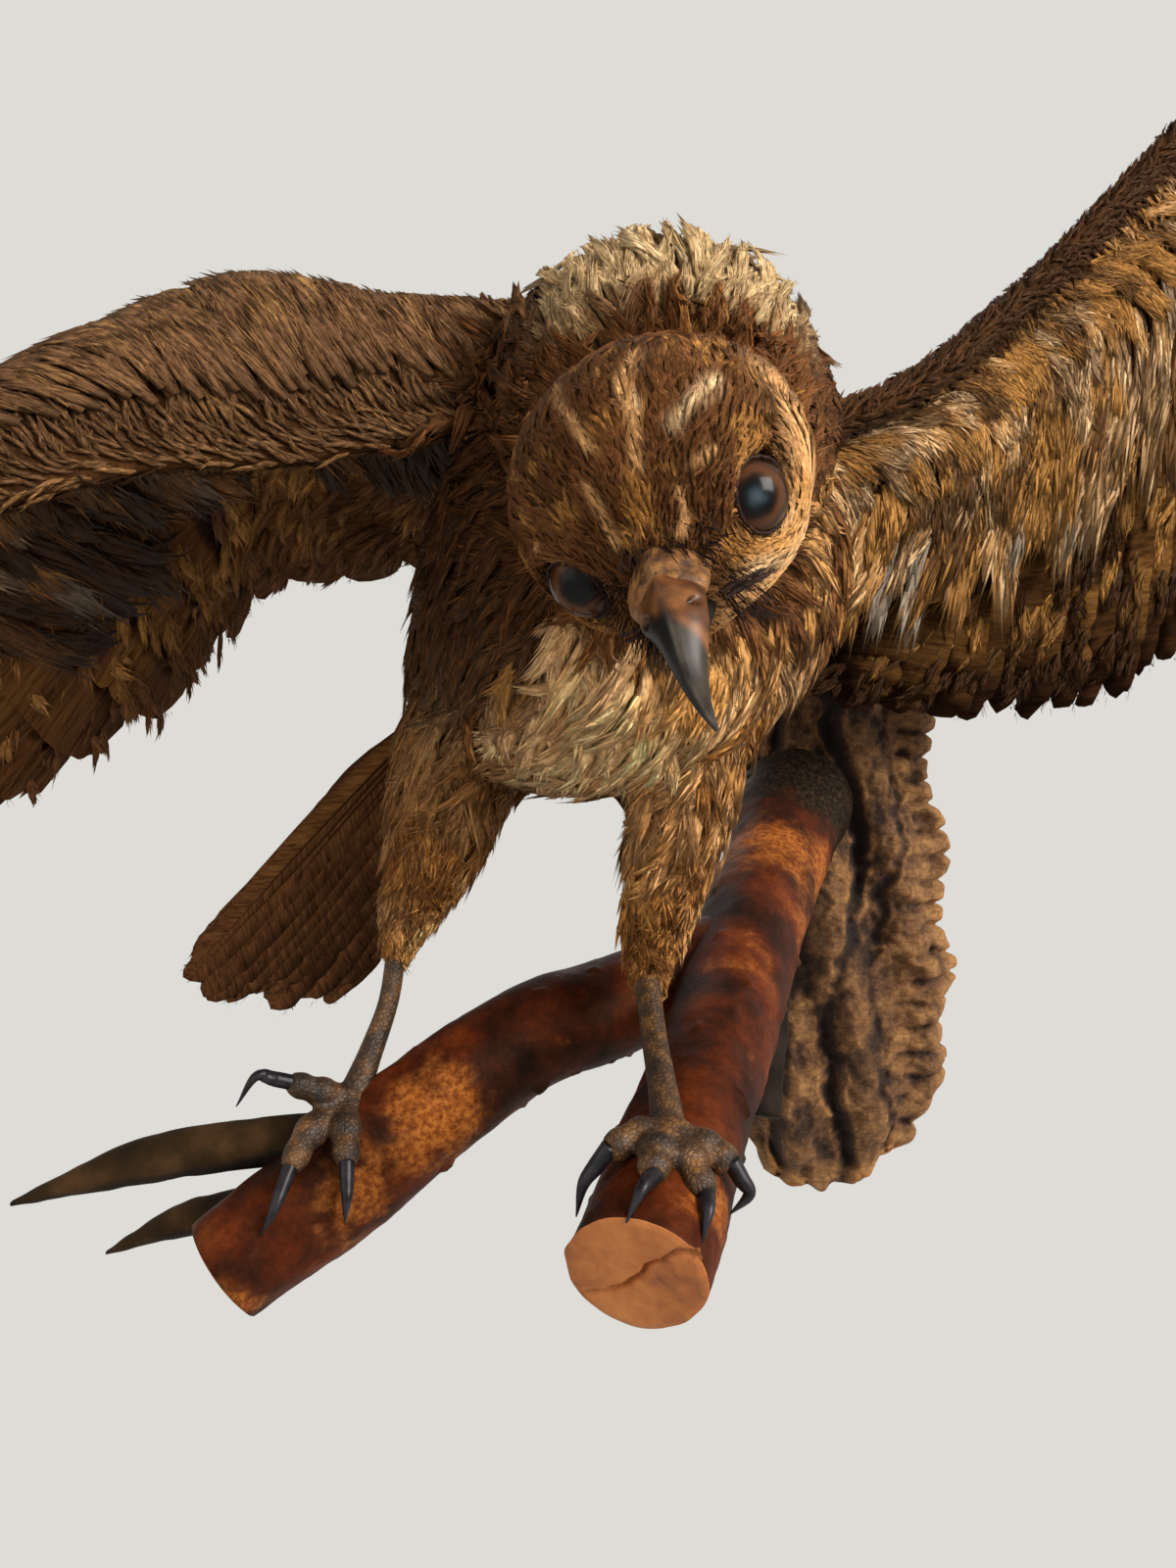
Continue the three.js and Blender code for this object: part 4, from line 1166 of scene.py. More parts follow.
# Each spread hand: how its flesh rises, its step from the arm, and each finger's start and tip.
HAND_RIBS = {
    "right": ((-2, 4, 8), (-1.5, 0, -0.6), [
        ((-282, -320, 73), (-372, -146, -10)), ((-298, -318, 72), (-468, -130, -18)),
        ((-318, -310, 71), (-552, -140, -8)), ((-334, -300, 69), (-602, -190, 12)),
        ((-338, -298, 74), (-570, -240, 34)),
    ]),
    "left": ((-6, 8, 0), (1.5, 0, 0.8), [
        ((104, -171, 262), (200, -58, 98)), ((122, -170, 274), (293, -40, 150)),
        ((138, -168, 284), (385, -34, 250)), ((148, -166, 290), (392, -34, 326)),
        ((146, -166, 296), (359, -68, 376)),
    ]),
}
PRIMARIES, SECONDARIES = 10, 11
FACING = {"right": -1, "left": 1}
CHORD_SAMPLES = 70
QUILL_SAMPLES = 14


def ribs_of(side, part):
    """The wing's sections: leading edge, crest, bone and feather tip of each."""
    arm = np.array(ARM_RIBS[side], float)
    if part == "arm":
        return arm
    rise, step, fingers = HAND_RIBS[side]
    sections = [arm[-1] + np.array(step)]
    for lead, end in fingers:
        lead, end = np.array(lead, float), np.array(end, float)
        near, far = lead + (end - lead) * 0.04 + rise, lead + (end - lead) * 0.1 + rise
        sections.append(np.array([lead, near, far, end]))
    return np.array(sections)


def wing_at(ribs, u, v):
    """Points of the wing's middle surface: u runs out along it, v back from the leading edge."""
    rails = np.stack([through(ribs[:, rail], u) for rail in range(4)], -2)
    return through(rails, v)


def run_along(lines):
    """How far each sample of a line is from the line's start."""
    steps = np.linalg.norm(np.diff(lines, axis=1), axis=2)
    return np.concatenate([np.zeros((len(lines), 1)), np.cumsum(steps, 1)], 1)


def chords(ribs, u):
    """Samples from 0 to 1 across the wing, and how far behind its edge they are at each u."""
    chord = np.linspace(0, 1, CHORD_SAMPLES)
    lines = wing_at(ribs, np.repeat(u[:, None], CHORD_SAMPLES, 1), np.repeat(chord[None], len(u), 0))
    return chord, run_along(lines)


def over_wing(side, part, u, start, reach_to, samples, lean):
    """Shafts laid back over the wing from `start` to `reach_to` millimetres behind its edge."""
    ribs = ribs_of(side, part)
    chord, run = chords(ribs, u)
    share = np.linspace(0, 1, samples)
    wanted = start[:, None] + (reach_to - start)[:, None] * share
    v = np.array([np.interp(w, r, chord) for w, r in zip(wanted, run)])
    beyond = np.maximum(wanted - run[:, -1:], 0)
    across = np.clip(u[:, None] + lean[:, None] * share, 0, 1)
    nudge = 0.004
    further, nearer = np.minimum(across + nudge, 1), np.maximum(across - nudge, 0)
    along_u = wing_at(ribs, further, v) - wing_at(ribs, nearer, v)
    further, nearer = np.minimum(v + nudge, 1), np.maximum(v - nudge, 0)
    along_v = wing_at(ribs, across, further) - wing_at(ribs, across, nearer)
    place = wing_at(ribs, across, v) + unit(along_v) * beyond[..., None]
    return place, unit(np.cross(along_u, along_v)) * FACING[side], run[:, -1]


def half_depth(part, u, v):
    """Half the thickness of the wing's flesh."""
    v = np.clip(v / 0.7, 0, 1)
    if part == "arm":
        return (6 + 10 * np.sin(v * math.pi * 0.75)) / 2
    return (5 + 4 * np.sin(v * math.pi)) / 2 * (1 - 0.3 * u)


def wing_map(side):
    """Places on a wing's middle surface: ways out and back, normals, and how far behind its edge."""
    found = []
    for part in ("arm", "hand"):
        u, v = np.meshgrid(np.linspace(0, 1, 50), np.linspace(0, 1, 60), indexing="ij")
        place = wing_at(ribs_of(side, part), u, v)
        out, back = unit(np.gradient(place, axis=0)), unit(np.gradient(place, axis=1))
        normal = unit(np.cross(out, back)) * FACING[side]
        run = run_along(place)[..., None]
        found.append(np.concatenate([place, out, back, normal, run], -1).reshape(-1, 13))
    found = np.concatenate(found)
    index = KDTree(len(found))
    for number, spot in enumerate(found[:, :3].tolist()):
        index.insert(spot, number)
    index.balance()
    return index, found


def look_up(places, points):
    """The rows of a wing map nearest to the points."""
    index, found = places
    return found[[index.find(p)[1] for p in np.asarray(points, float).reshape(-1, 3).tolist()]]


def upper_colours(points, run, side):
    """The brown upper side, darker in front; the right wing's front rim is worn pale."""
    wave = fade(speckle(points, 9, 3) + 0.4 * speckle(points, 4, 8), -0.8, 0.5)
    middle = blend_in(BROWN * 0.75, BROWN, wave)
    edge = blend_in(BROWN, GOLD, 0.15 + 0.35 * fade(speckle(points, 6, 5), 0.1, 0.6))
    if side == "right":
        faded = np.array([0.98, 1.1, 1.28])
        middle, edge = middle * faded + 0.008, edge * faded + 0.01
    else:
        front = 1 - fade(run, 13, 18)
        middle, edge = blend_in(middle, UMBER * 0.7, front), blend_in(edge, BROWN * 0.65, front)
    rim = (1 - fade(run, 1, 4)) * (side == "right") * 0.25
    return blend_in(middle, GOLD * 0.9, rim), blend_in(edge, CREAM, rim)


def under_colours(points, run, side):
    """The lower side: on the right wing dark, and darkest behind its front edge as painted shadow; on the
    left a dark front band, then golden.
    """
    wave = fade(speckle(points, 13, 4) + 0.5 * speckle(points, 5, 9), -0.45, 0.35)
    if side == "right":
        # On the right wing the lower side is painted near black for the first 25 to 60 mm behind the front
        # edge: painted shadow under the arched wing, over its own mottled brown.
        mottled = fade(speckle(points, 10, 14) + 0.5 * speckle(points, 4, 9), -0.1, 0.5) * fade(run, 25, 60)
        middle = blend_in(UMBER * 0.4, BROWN * 1.1, mottled)
        return middle, blend_in(middle, GOLD * 0.8, 0.5 * mottled)
    golden = fade(run, 13, 19) * (1 - 0.4 * fade(run, 80, 112))
    tuft = fade(speckle(points, 9, 15) + 0.4 * speckle(points, 3.5, 16), 0.0, 0.5)
    shaded = fade(speckle(points, 10, 25) + 0.3 * speckle(points, 4, 26), 0.1, 0.55)
    middle = blend_in(UMBER * 0.5, blend_in(BROWN * 0.5, GOLD * 0.85, wave), golden * 0.9)
    edge = blend_in(BROWN * 0.45, blend_in(GOLD * 0.65, PALE, tuft), golden)
    return blend_in(middle, UMBER * 0.5, 0.8 * shaded), blend_in(edge, BROWN * 0.7, 0.8 * shaded)


wing_places = {side: wing_map(side) for side in ("right", "left")}


def small_coverts(side):
    """Hair-like little feathers over all the skin of one wing, from its front edge backwards."""
    places = wing_places[side]

    def way_for(turn):
        def way_of(at):
            found = look_up(places, at)
            run = found[:, 12]
            lean = 1.9 * (1 - fade(run, 3, 13)) + 0.7 * (1 - fade(run, 14, 36)) - 0.3 * fade(run, 34, 70)
            return unit(found[:, 6:9] + found[:, 3:6] * lean[:, None] + turn)
        return way_of

    def colours(points, _own_share):
        found = look_up(places, points)
        above = np.einsum("ij,ij->i", points - found[:, :3], found[:, 9:12]) > 0
        upper, under = (paint_it(points, found[:, 12], side) for paint_it in (upper_colours, under_colours))
        return [np.where(above[:, None], top, below) for top, below in zip(upper, under)]

    def lengths(points):
        return 8 + 9 * fade(look_up(places, points)[:, 12], 4, 40)

    arm_names = [f"arm_coverts_small_{side}_{number}" for number in (1, 2)]
    for names, part, seed in ((arm_names, "arm", 8), ([f"hand_coverts_small_{side}"], "hand", 9)):
        body_feathers(names, [f"wing_{part}_{side}"], lengths, 0.165, 0.222, same(0.12),
                      plume_of(14, seed, splay=0.5, hair_wide=0.14, full=0.5),
                      colours=colours, way_for=way_for, streaky=0.3)


def covert_rows(side, part, face, rows, colours):
    """Rows of coverts over one face of the wing: rows are (distance behind the edge, length)."""
    long_way = HAND_LENGTH
    if part == "arm":
        middle = wing_at(ribs_of(side, part), np.linspace(0, 1, 30), np.full(30, 0.5))
        long_way = np.linalg.norm(np.diff(middle, axis=0), axis=1).sum()
    starts, lengths, ways = [], [], []
    for number, (behind, length) in enumerate(rows):
        count = int(long_way / (COVERT_GAP * length / 24))
        u = (np.arange(count) + (0.25 if number % 2 else 0.75)) / count
        starts.append(behind + draw.normal(0, 1.6, count))
        lengths.append(length * draw.uniform(0.8, 1.2, count))
        ways.append(np.clip(u + draw.normal(0, 0.3 / count, count), 0, 1))
    u, start, length = np.concatenate(ways), np.concatenate(starts), np.concatenate(lengths)
    lean = 0.03 * length / 30 + draw.normal(0, 0.012, len(u))
    if part == "arm":
        lean = lean + (0.13 - 0.24 * fade(start, 12, 64)) * length / 30
    shafts, normals, run = over_wing(side, part, u, start, start + length, COVERT_SAMPLES, lean)
    _, _, flat = on_skin(shafts[:, 0])
    sign = 1 if face == "upper" else -1
    along = np.linspace(0, 1, COVERT_SAMPLES)
    chord_share = along[None] * (length / run)[:, None] + (start / run)[:, None]
    flesh = half_depth(part, u[:, None], np.clip(chord_share * 1.6, 0, 1))
    climb = along ** 0.9 * (length * 0.1)[:, None] + 0.6
    shafts = shafts + normals * (sign * (flesh + climb))[..., None]
    middle, edge = colours(shafts[:, 4], start + length * 0.7, side)
    downy = (draw.random(len(u)) < 0.04) * fade(start, 30, 45)
    downy = downy * (face == "under") * (1 if side == "left" else 0.4)
    middle, edge = blend_in(middle, GREY * 0.7, downy), blend_in(edge, GREY * 1.1, downy)
    dress(f"{part}_coverts_{face}_{side}", shafts, normals * sign, length * 0.16, COVERT,
          silky(middle, edge), flat, droop=0.12, curl=0.9, ragged=0.2)


vane_finish, tree, shader = blank_finish("flight_vanes", 0.8, 0.05, TAWNY_SHINE)
laid = {"Vector": stored(tree, "barb_lie", "Color"), "Scale": (95, 4, 60)}
barbs = noise(tree, wire(tree, "ShaderNodeMapping", laid).outputs[0], 1, 5, Roughness=0.7)
shade = ramp(tree, barbs, [(0.35, "8c7f74"), (0.5, "dcd4cc"), (0.65, "ffffff")])
barbed = laid_over(tree, stored(tree, "plumage", "Color"), shade, 1.0, "MULTIPLY")
feed(tree, shader, barbed, barbs, 0.7, 0.0006)


def many_shells(tubes):
    """Points and triangles of several closed skins in one."""
    points, faces, total = [], [], 0
    for rings in tubes:
        own_points, own_faces = shell(rings)
        points.append(own_points)
        faces.append(own_faces + total)
        total += len(own_points)
    return np.concatenate(points), np.concatenate(faces)


def shaft_rods(name, shafts, normals, wide, colour):
    """The quills of long feathers: a thin tapered rod down each shaft."""
    samples = shafts.shape[1]
    ahead = unit(np.gradient(shafts, axis=1))
    beside = unit(np.cross(normals, ahead))
    taper = np.linspace(1, 0.2, samples)[:, None]
    angle = np.linspace(0, 2 * math.pi, 6, endpoint=False)
    rods = []
    for line, across, up in zip(shafts, beside, normals):
        ring = line[:, None] + across[:, None] * (np.cos(angle) * wide * taper)[..., None]
        rods.append(ring + up[:, None] * (np.sin(angle) * wide * 0.8 * taper)[..., None])
    points, faces = many_shells(rods)
    made = piece(name, points, faces, vane_finish)
    tint(made, "plumage", np.tile(colour, (len(points), 1)))
    stand_in(made, "flight_feathers")


def flight_vane(stations, strips, hairs, seed):
    """A long feather: a wide vane with a tongue-shaped tip, slanting barbs and frayed edges."""
    pick = np.random.default_rng(seed)

    def outline(s):
        far = np.clip((s - 0.7) / 0.3, 0, 1)
        return (0.5 + 0.5 * fade(s, 0, 0.2)) * (1 - 0.999 * far ** 2.4) ** 0.7

    corners, faces = vane_grid(stations, strips, outline)
    corners = [(s + 0.05 * abs(w) * (s < 0.99), w, h) for s, w, h in corners]
    lock_of, tip_of = [0] * len(corners), [0.0] * len(corners)
    for number in range(hairs):
        turn = 1 if number % 2 else -1
        start = 0.5 + 0.47 * pick.random()
        here = 0.9 * float(outline(start))
        reach = pick.uniform(0.015, 0.03)
        there = here + pick.uniform(0.02, 0.1) * (1 - fade(start, 0.85, 1))
        first = len(corners)
        corners += [(start + 0.04, here * turn, 0.0), (start + 0.048, here * turn, 0.1),
                    (start + 0.044, here * turn, 0.6), (start + 0.04 + reach, there * turn, 0.2)]
        lock_of += [number + 1] * 4
        tip_of += [0.0, 0.0, 0.0, 0.35]
        faces += [(first, first + 1, first + 3)[::turn], (first, first + 3, first + 2)[::turn],
                  (first + 1, first + 2, first + 3)[::turn], (first, first + 2, first + 1)[::turn]]
    return np.array(corners, float), np.array(faces), np.array(lock_of), np.array(tip_of)


def barb_noise(along, across, fine, seed):
    """Random hills that run out along the barbs of each long feather."""
    row = np.arange(len(along))[:, None] * 7.3 + 0 * along
    slant = (along - 0.06 * np.abs(across)) * fine
    return speckle(np.stack([slant, np.sign(across) * 2 + 0 * along, row], -1), 1, seed)


def vane_wear(along, across):
    """Splits in the vane's edges near its tip."""
    tipward = fade(along, 0.6, 0.85)
    gaps = fade(barb_noise(along, across, 26, 3), 0.35, 0.65) * fade(np.abs(across), 0.35, 0.8) * tipward
    frayed = fade(barb_noise(along, across, 60, 5), 0, 0.8) * fade(np.abs(across), 0.5, 1)
    across = across * (1 - 0.3 * gaps - 0.12 * frayed * (0.3 + tipward))
    return along + 0.02 * barb_noise(across * 6, along, 1, 6) * tipward, across


def barred(base, pale, tip, side_light, open_side):
    """Colours a long feather: soft pale dashes down its open side, and painted shade where it lies under the
    next feather.
    """
    def colour_of(along, across, _lock_of, _locks):
        row = np.arange(len(along))[:, None] * 3.7 + 0 * along
        slant = along - 0.06 * np.abs(across)
        open_edge = across * open_side
        colour = base[:, None] * (1 + 0.45 * barb_noise(along, across, 80, 8))[..., None]
        dash = speckle(np.stack([along * 5 - open_edge, across * 1.1, row], -1), 1, 11)
        dash = fade(dash + 0.3 * barb_noise(along, across, 60, 12), 0.1, 0.55) * fade(open_edge, -0.5, 0.2)
        dash = dash * (1 - fade(along, 0.66, 0.86))
        colour = blend_in(colour, pale[:, None], side_light * dash)
        bars = fade(barb_noise(along, across, 14, 9), 0.2, 0.7) * (1 - fade(along, 0.66, 0.86))
        colour = blend_in(colour, pale[:, None] * 0.6, 0.25 * bars)
        # Painted shade: the side that lies under the next feather is darkened.
        colour = colour * (1 - 0.75 * fade(-open_edge, 0.0, 0.8))[..., None]
        margin = fade(open_edge, 0.75, 1.0) * fade(barb_noise(along, across, 9, 4), -0.6, 0.4)
        colour = blend_in(colour, pale[:, None], 0.5 * side_light * margin)
        near_tip = fade(slant + 0.02 * barb_noise(along, across, 40, 2), 0.9, 0.99)
        return blend_in(colour, tip[:, None], 0.6 * near_tip)
    return colour_of


def long_feathers(name, node, shafts, normals, half, base, pale, tip, tilt, side_light):
    """A row of long feathers, each tilted so that it lies over the next, with their quills."""
    number = len(shafts)
    beside = np.cross(normals, unit(np.gradient(shafts, axis=1)))
    share = np.linspace(0, 1, shafts.shape[1])
    wave = np.sin(7 * share + draw.uniform(0, 6, (number, 1))) * share * draw.uniform(0.5, 2.2, (number, 1))
    shafts = shafts + beside * wave[..., None]
    normals = unit(normals + beside * tilt)
    flat = np.stack([0.03 + 0.9 * (np.arange(number) + 0.5) / number, np.full(number, 0.5)], 1)
    own_shade = (1 + 0.1 * speckle(shafts[:, 0], 3))[:, None]
    colours = [colour * own_shade for colour in (base, pale, tip)]
    made = dress(name, shafts, normals, half, LONG_VANE,
                 barred(*colours, side_light, np.sign(tilt)), flat,
                 slot="flight_feathers", thick=0.6, ragged=0.05, droop=0.13, patch=0.06, finish=vane_finish,
                 wear=vane_wear, curl=0.12)
    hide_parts(node)
    shaft_rods(name + "_quills", shafts + normals * 0.5, normals, 0.6, UMBER * 0.5)
    return shafts, normals, flat


def soft_under(name, shafts, normals, half, flat, middle, edge, per_feather):
    """Loose downy barbs over the lower face of long feathers, laid along them."""
    number, samples, _ = shafts.shape
    ahead = unit(np.gradient(shafts, axis=1))
    beside = np.cross(normals, ahead)
    reach = np.linalg.norm(np.diff(shafts, axis=1), axis=2).sum(1)
    which = np.repeat(np.arange(number), per_feather)
    start = draw.uniform(0.15, 0.9, len(which))
    length = draw.uniform(14, 23, len(which)) * (1.1 - 0.45 * start)
    across = draw.uniform(-0.85, 0.85, len(which))
    spread = across + draw.normal(0.45, 0.2, len(which))
    steps = np.linspace(0, 1, 5)
    along = np.clip(start[:, None] + (length / reach[which])[:, None] * steps, 0, 0.97)
    place = along * (samples - 1)
    step = np.clip(place.astype(int), 0, samples - 2)
    part = (place - step)[..., None]
    row = which[:, None]
    line, side_way, up = (between(lines, row, step, part) for lines in (shafts, beside, normals))
    w = across[:, None] + (spread - across)[:, None] * steps
    drop = 0.13 * half[which][:, None] * w ** 2 + 0.6 + 1.6 * steps * draw.uniform(0.3, 1.2, (len(which), 1))
    tufts = line + side_way * (w * half[which][:, None])[..., None] - up * drop[..., None]
    places = flat[which] + draw.uniform(-0.01, 0.01, (len(which), 2))
    spots = tufts[:, 3]
    wave = fade(speckle(spots, 11, 21) + 0.6 * speckle(spots, 5, 22), -0.25, 0.35)
    wave = wave * (1 - fade(start, 0.58, 0.8))
    dress(name, tufts, -up, length * 0.17, plume_of(11, 12, hair_wide=0.16),
          silky(blend_in(middle, edge * 0.6, wave), blend_in(middle * 1.1, edge, wave)), places,
          slot="flight_feathers", curl=0.9, ragged=0.2, thick=0.4)


def flight_row(side, part, number, first, node):
    """The flight feathers of one part of a wing, with the down over their lower face."""
    arm = part == "arm"
    ends = (np.arange(number) + 0.5) / number
    u = np.clip(ends - FLIGHT_LEAN[side] * arm, 0, 1)
    ribs = ribs_of(side, part)
    chord, run = chords(ribs, u)
    start = np.array([np.interp(first, chord, r) for r in run])
    worn = 0.995 - 0.05 * draw.random(number)
    shafts, normals, _ = over_wing(side, part, u, start, run[:, -1] * worn, QUILL_SAMPLES, ends - u)
    gap = np.linalg.norm(np.gradient(wing_at(ribs, ends, np.ones(number)), axis=0), axis=1)
    half = gap * SECONDARY_SHARE[side] if arm else np.clip(gap * 0.7, 10, 18)
    kind = "secondary" if arm else "primary"
    shafts, normals, flat = long_feathers(f"{kind}_feathers_{side}", node, shafts, normals, half,
                                          *FLIGHT_LOOKS[side])
    soft_under(f"{kind}_down_{side}", shafts, normals, half, flat, *DOWN_LOOKS[side], 50 if arm else 28)


LONG_VANE = flight_vane(40, 10, 70, 7)
COVERT = plume_of(24, 6)
COVERT_GAP, COVERT_SAMPLES, HAND_LENGTH = 4.2, 6, 110
# Rows of coverts: how far each starts behind the edge, and its length.
ARM_ROWS = [(20, 17), (28, 20), (37, 23), (47, 27), (56, 32), (64, 38), (70, 46)]
HAND_ROWS = [(12, 13), (18, 17), (26, 23), (34, 28)]
RIGHT_ARM_UNDER = [(84, 40), (98, 40)]
RIGHT_HAND_UNDER = [(44, 36), (58, 42), (74, 46)]
# Flight feathers: base, pale dashes, tip, tilt, and how strong the dashes are.
FLIGHT_LOOKS = {
    "right": (BROWN * 1.05 + 0.004, GOLD * 0.75, BROWN * 1.05, 0.16, 0.6),
    "left": (UMBER * 0.42, GOLD * 0.7, UMBER * 0.65, -0.3, 0.6),
}
FLIGHT_LEAN = {"right": -0.08, "left": -0.2}
SECONDARY_SHARE = {"right": 0.85, "left": 0.74}
DOWN_LOOKS = {"right": (BROWN * 0.95, GOLD * 0.95), "left": (UMBER * 0.42, GOLD * 0.9)}
for side in ("right", "left"):
    small_coverts(side)
    for face, colours in (("upper", upper_colours), ("under", under_colours)):
        mottled = side == "right" and face == "under"
        covert_rows(side, "arm", face, ARM_ROWS + RIGHT_ARM_UNDER * mottled, colours)
        covert_rows(side, "hand", face, HAND_ROWS + RIGHT_HAND_UNDER * mottled, colours)
    flight_row(side, "arm", SECONDARIES, 0.55, f"secondaries_{side}")
    flight_row(side, "hand", PRIMARIES, 0.4, f"primaries_{side}")

# ---- The tail -------------------------------------------------------------------------
# Twelve tail feathers, closed into a narrow stack; those on the bird's left are worn short,
# and the outermost on its right shows a pale edge.
TAIL_ROOT = np.array([-163, -143, 41])
TAIL_ALONG, TAIL_ACROSS = unit([-0.61, 0.45, -0.65]), unit([0.77, 0.26, -0.57])
TAIL_LENGTHS = np.array([172, 178, 174, 179, 181, 176, 163, 158, 166, 150, 141, 146])
TAIL_FEATHERS = len(TAIL_LENGTHS)
u = (np.arange(TAIL_FEATHERS) + 0.5) / TAIL_FEATHERS
v = np.linspace(0, 1, QUILL_SAMPLES)
shafts = (
    TAIL_ROOT
    + TAIL_ALONG * (TAIL_LENGTHS[:, None] * v)[..., None]
    + TAIL_ACROSS * ((-25 + 62 * u)[:, None] * (0.5 + 0.5 * v))[..., None]
    + np.array([-1, -1, 1]) * (3 * np.sin(u * math.pi))[:, None, None]
)
facing = np.broadcast_to(unit(np.cross(TAIL_ALONG, TAIL_ACROSS)), shafts.shape)
tail_half = np.full(TAIL_FEATHERS, 11.0)
tail_half[[0, -1]] = 7.5
TAIL_LOOKS = (BROWN * 1.05 + 0.006, GOLD * 0.7, BROWN * 1.1 + 0.004, -0.2, 0.35)
long_feathers("tail_feathers", "tail", shafts, facing, tail_half, *TAIL_LOOKS)

# ---- The legs -------------------------------------------------------------------------
# Bare scaled shanks and toes of dried yellow-brown skin, one skin from shank to toe tips, and
# eight hooked black claws.
# Shanks, thigh to pad: x, y, z, half width, half height up and down.
SHANKS = {
    "right": [
        (-179, -182, -34, 3.4, 3.8), (-181, -186, -50, 3.4, 3.8), (-186, -192, -66, 4),
        (-191, -198, -80, 5.4, 4.6),
    ],
    "left": [
        (-97, -220, -38, 3.8, 4.2), (-96, -238, -51, 3.8, 4.2), (-94.5, -256, -62, 4.2),
        (-94, -268, -70, 5.4, 4.6),
    ],
}
# Toes: the knuckle, the tip, the bend of the claw and its point.
TOES = {
    "right": {
        "inner": [(-200, -204, -75), (-208, -208, -71), (-217, -212, -68), (-223, -214, -77)],
        "middle": [(-201, -212, -86), (-205, -220, -94), (-208, -226, -104), (-212, -226, -112)],
        "outer": [(-190, -211, -86), (-188, -219, -93), (-187, -224, -102), (-188, -222, -110)],
        "hind": [(-193, -188, -84), (-195, -180, -91), (-196, -177, -100), (-197, -180, -108)],
    },
    "left": {
        "inner": [(-102, -272, -69), (-110, -276, -71), (-116, -277, -79), (-118, -276, -88)],
        "middle": [(-98, -280, -71), (-99, -287, -74), (-102, -293, -75), (-106, -296.5, -82)],
        "outer": [(-84, -272, -72), (-78, -275, -75), (-74, -276, -82), (-79, -277, -87)],
        "hind": [(-89, -279, -74), (-86, -286, -79), (-86, -291, -81), (-88, -295, -88)],
    },
}
TOE_SIDE = (0.9, 0.3, -0.3)
LEG_VOXEL = 0.00075
scales, tree, shader = blank_finish("scaled_leg_skin", 0.55)
where = place_on(tree)
plates = cells(tree, where, 620, feature="DISTANCE_TO_EDGE")
tone = ramp(tree, noise(tree, where, 160, 5), [(0.3, "1e130a"), (0.5, "462e16"), (0.7, "7a5226")])
feed(tree, shader, dirtied(tree, tone, plates, 0, 0.12, "3a2c20", amount=0.75), plates, 0.6, 0.001)
claw_horn, tree, shader = blank_finish("claw_horn", 0.38, 0.3)
feed(tree, shader, ramp(tree, noise(tree, place_on(tree), 300, 4), [(0.35, "0b0b0d"), (0.65, "25242a")]))


def knuckled(t, angle):
    """The swellings along a toe."""
    return 1 + 0.09 * np.sin(t * 17) + 0 * angle


for side in ("right", "left"):
    pad = np.array(SHANKS[side][-1][:3], float)
    tubes = [limb(SHANKS[side], (1, 0, 0), 40, 20)]
    for knuckle, tip, _, _ in TOES[side].values():
        tubes.append(limb([(*pad, 5.4), (*knuckle, 5.0, 4.6), (*tip, 3.5)], TOE_SIDE, 26, 16, shape=knuckled))
    ball = [(*(pad + (0, 0, rise)), wide) for rise, wide in ((5, 3), (2, 6), (-3, 6.4), (-6, 3))]
    tubes.append(limb(ball, (1, 0, 0), 14, 16))
    made = piece(f"leg_{side}", *many_shells(tubes), scales)
    one_skin(made, LEG_VOXEL, 5, scales)
    stand_in(made, "scaled_skin", f"tarsus_{side}", f"foot_{side}")
    for toe, (_, tip, bend, point) in TOES[side].items():
        tip, bend, point = (np.array(p, float) for p in (tip, bend, point))
        rings = limb([(*(tip - (bend - tip) * 0.1), 2.4), (*(tip + (bend - tip) * 0.5), 2.2, 2.4),
                      (*bend, 1.6, 1.9), (*point, 0.2)], TOE_SIDE, 26, 16)
        claw = piece(f"claw_{toe}_{side}_horn", *shell(rings), claw_horn)
        stand_in(claw, "horn", f"claw_{toe}_{side}")

# ---- The face -------------------------------------------------------------------------
# Glass eyes with a dull pupil, set in dark dried lids. A dry painted cere runs back under
# the feathers, and the hooked horn bill is fixed over the narrow lower bill.
glass, tree, shader = blank_finish("painted_glass", 0.2, 0.16)
feed(tree, shader, stored(tree, "iris", "Color"))
lid_finish, tree, shader = blank_finish("dried_lids", 0.7, 0.2)
creases = noise(tree, place_on(tree), 900, 4)
tone = ramp(tree, creases, [(0.35, "120a07"), (0.55, "2c1810"), (0.8, "5a3826")])
feed(tree, shader, tone, creases, 0.6, 0.0005)
# Rings of the painted eye, out from its pupil: degrees where each starts and is full, and its colour.
IRIS_RINGS = [
    (2, 19, "0d1013"), (21, 25, "1a0e09"), (27, 38, "50301c"), (44, 54, "321c10"), (56, 64, "0e0705"),
]
# The painted middle of each pupil: pale blue-grey on the left eye, a painted soft reflection of the window,
# and near black on the right eye.
PUPIL = {"left": "3c4a52", "right": "161215"}
LID_HEIGHT, LID_RADIUS, LID_WIDE, LID_TALL, LID_CREASE = 3.3, 7.35, 0.5, 0.8, 0.25


def lid_ring(centre, axis):
    """The wrinkled rim of skin round an eye, in the head's frame: points and triangles."""
    one = unit(np.cross(axis, (0, 0, 1)))
    two = np.cross(axis, one)
    around = np.linspace(0, 2 * math.pi, 121)[:, None]
    angle = np.linspace(0, 2 * math.pi, 14, endpoint=False)[None]
    out = one * np.cos(around)[..., None] + two * np.sin(around)[..., None]
    folds = speckle(np.stack([np.cos(around) * 9, np.sin(around) * 9, 0 * around + 3.1], -1), 1, 2)
    size = LID_RADIUS + LID_WIDE * np.cos(angle) + LID_CREASE * folds
    rise = LID_TALL * np.sin(angle) + 0.6 * (LID_CREASE * folds)
    return shell(centre + axis * LID_HEIGHT + out * size[..., None] + axis * rise[..., None])


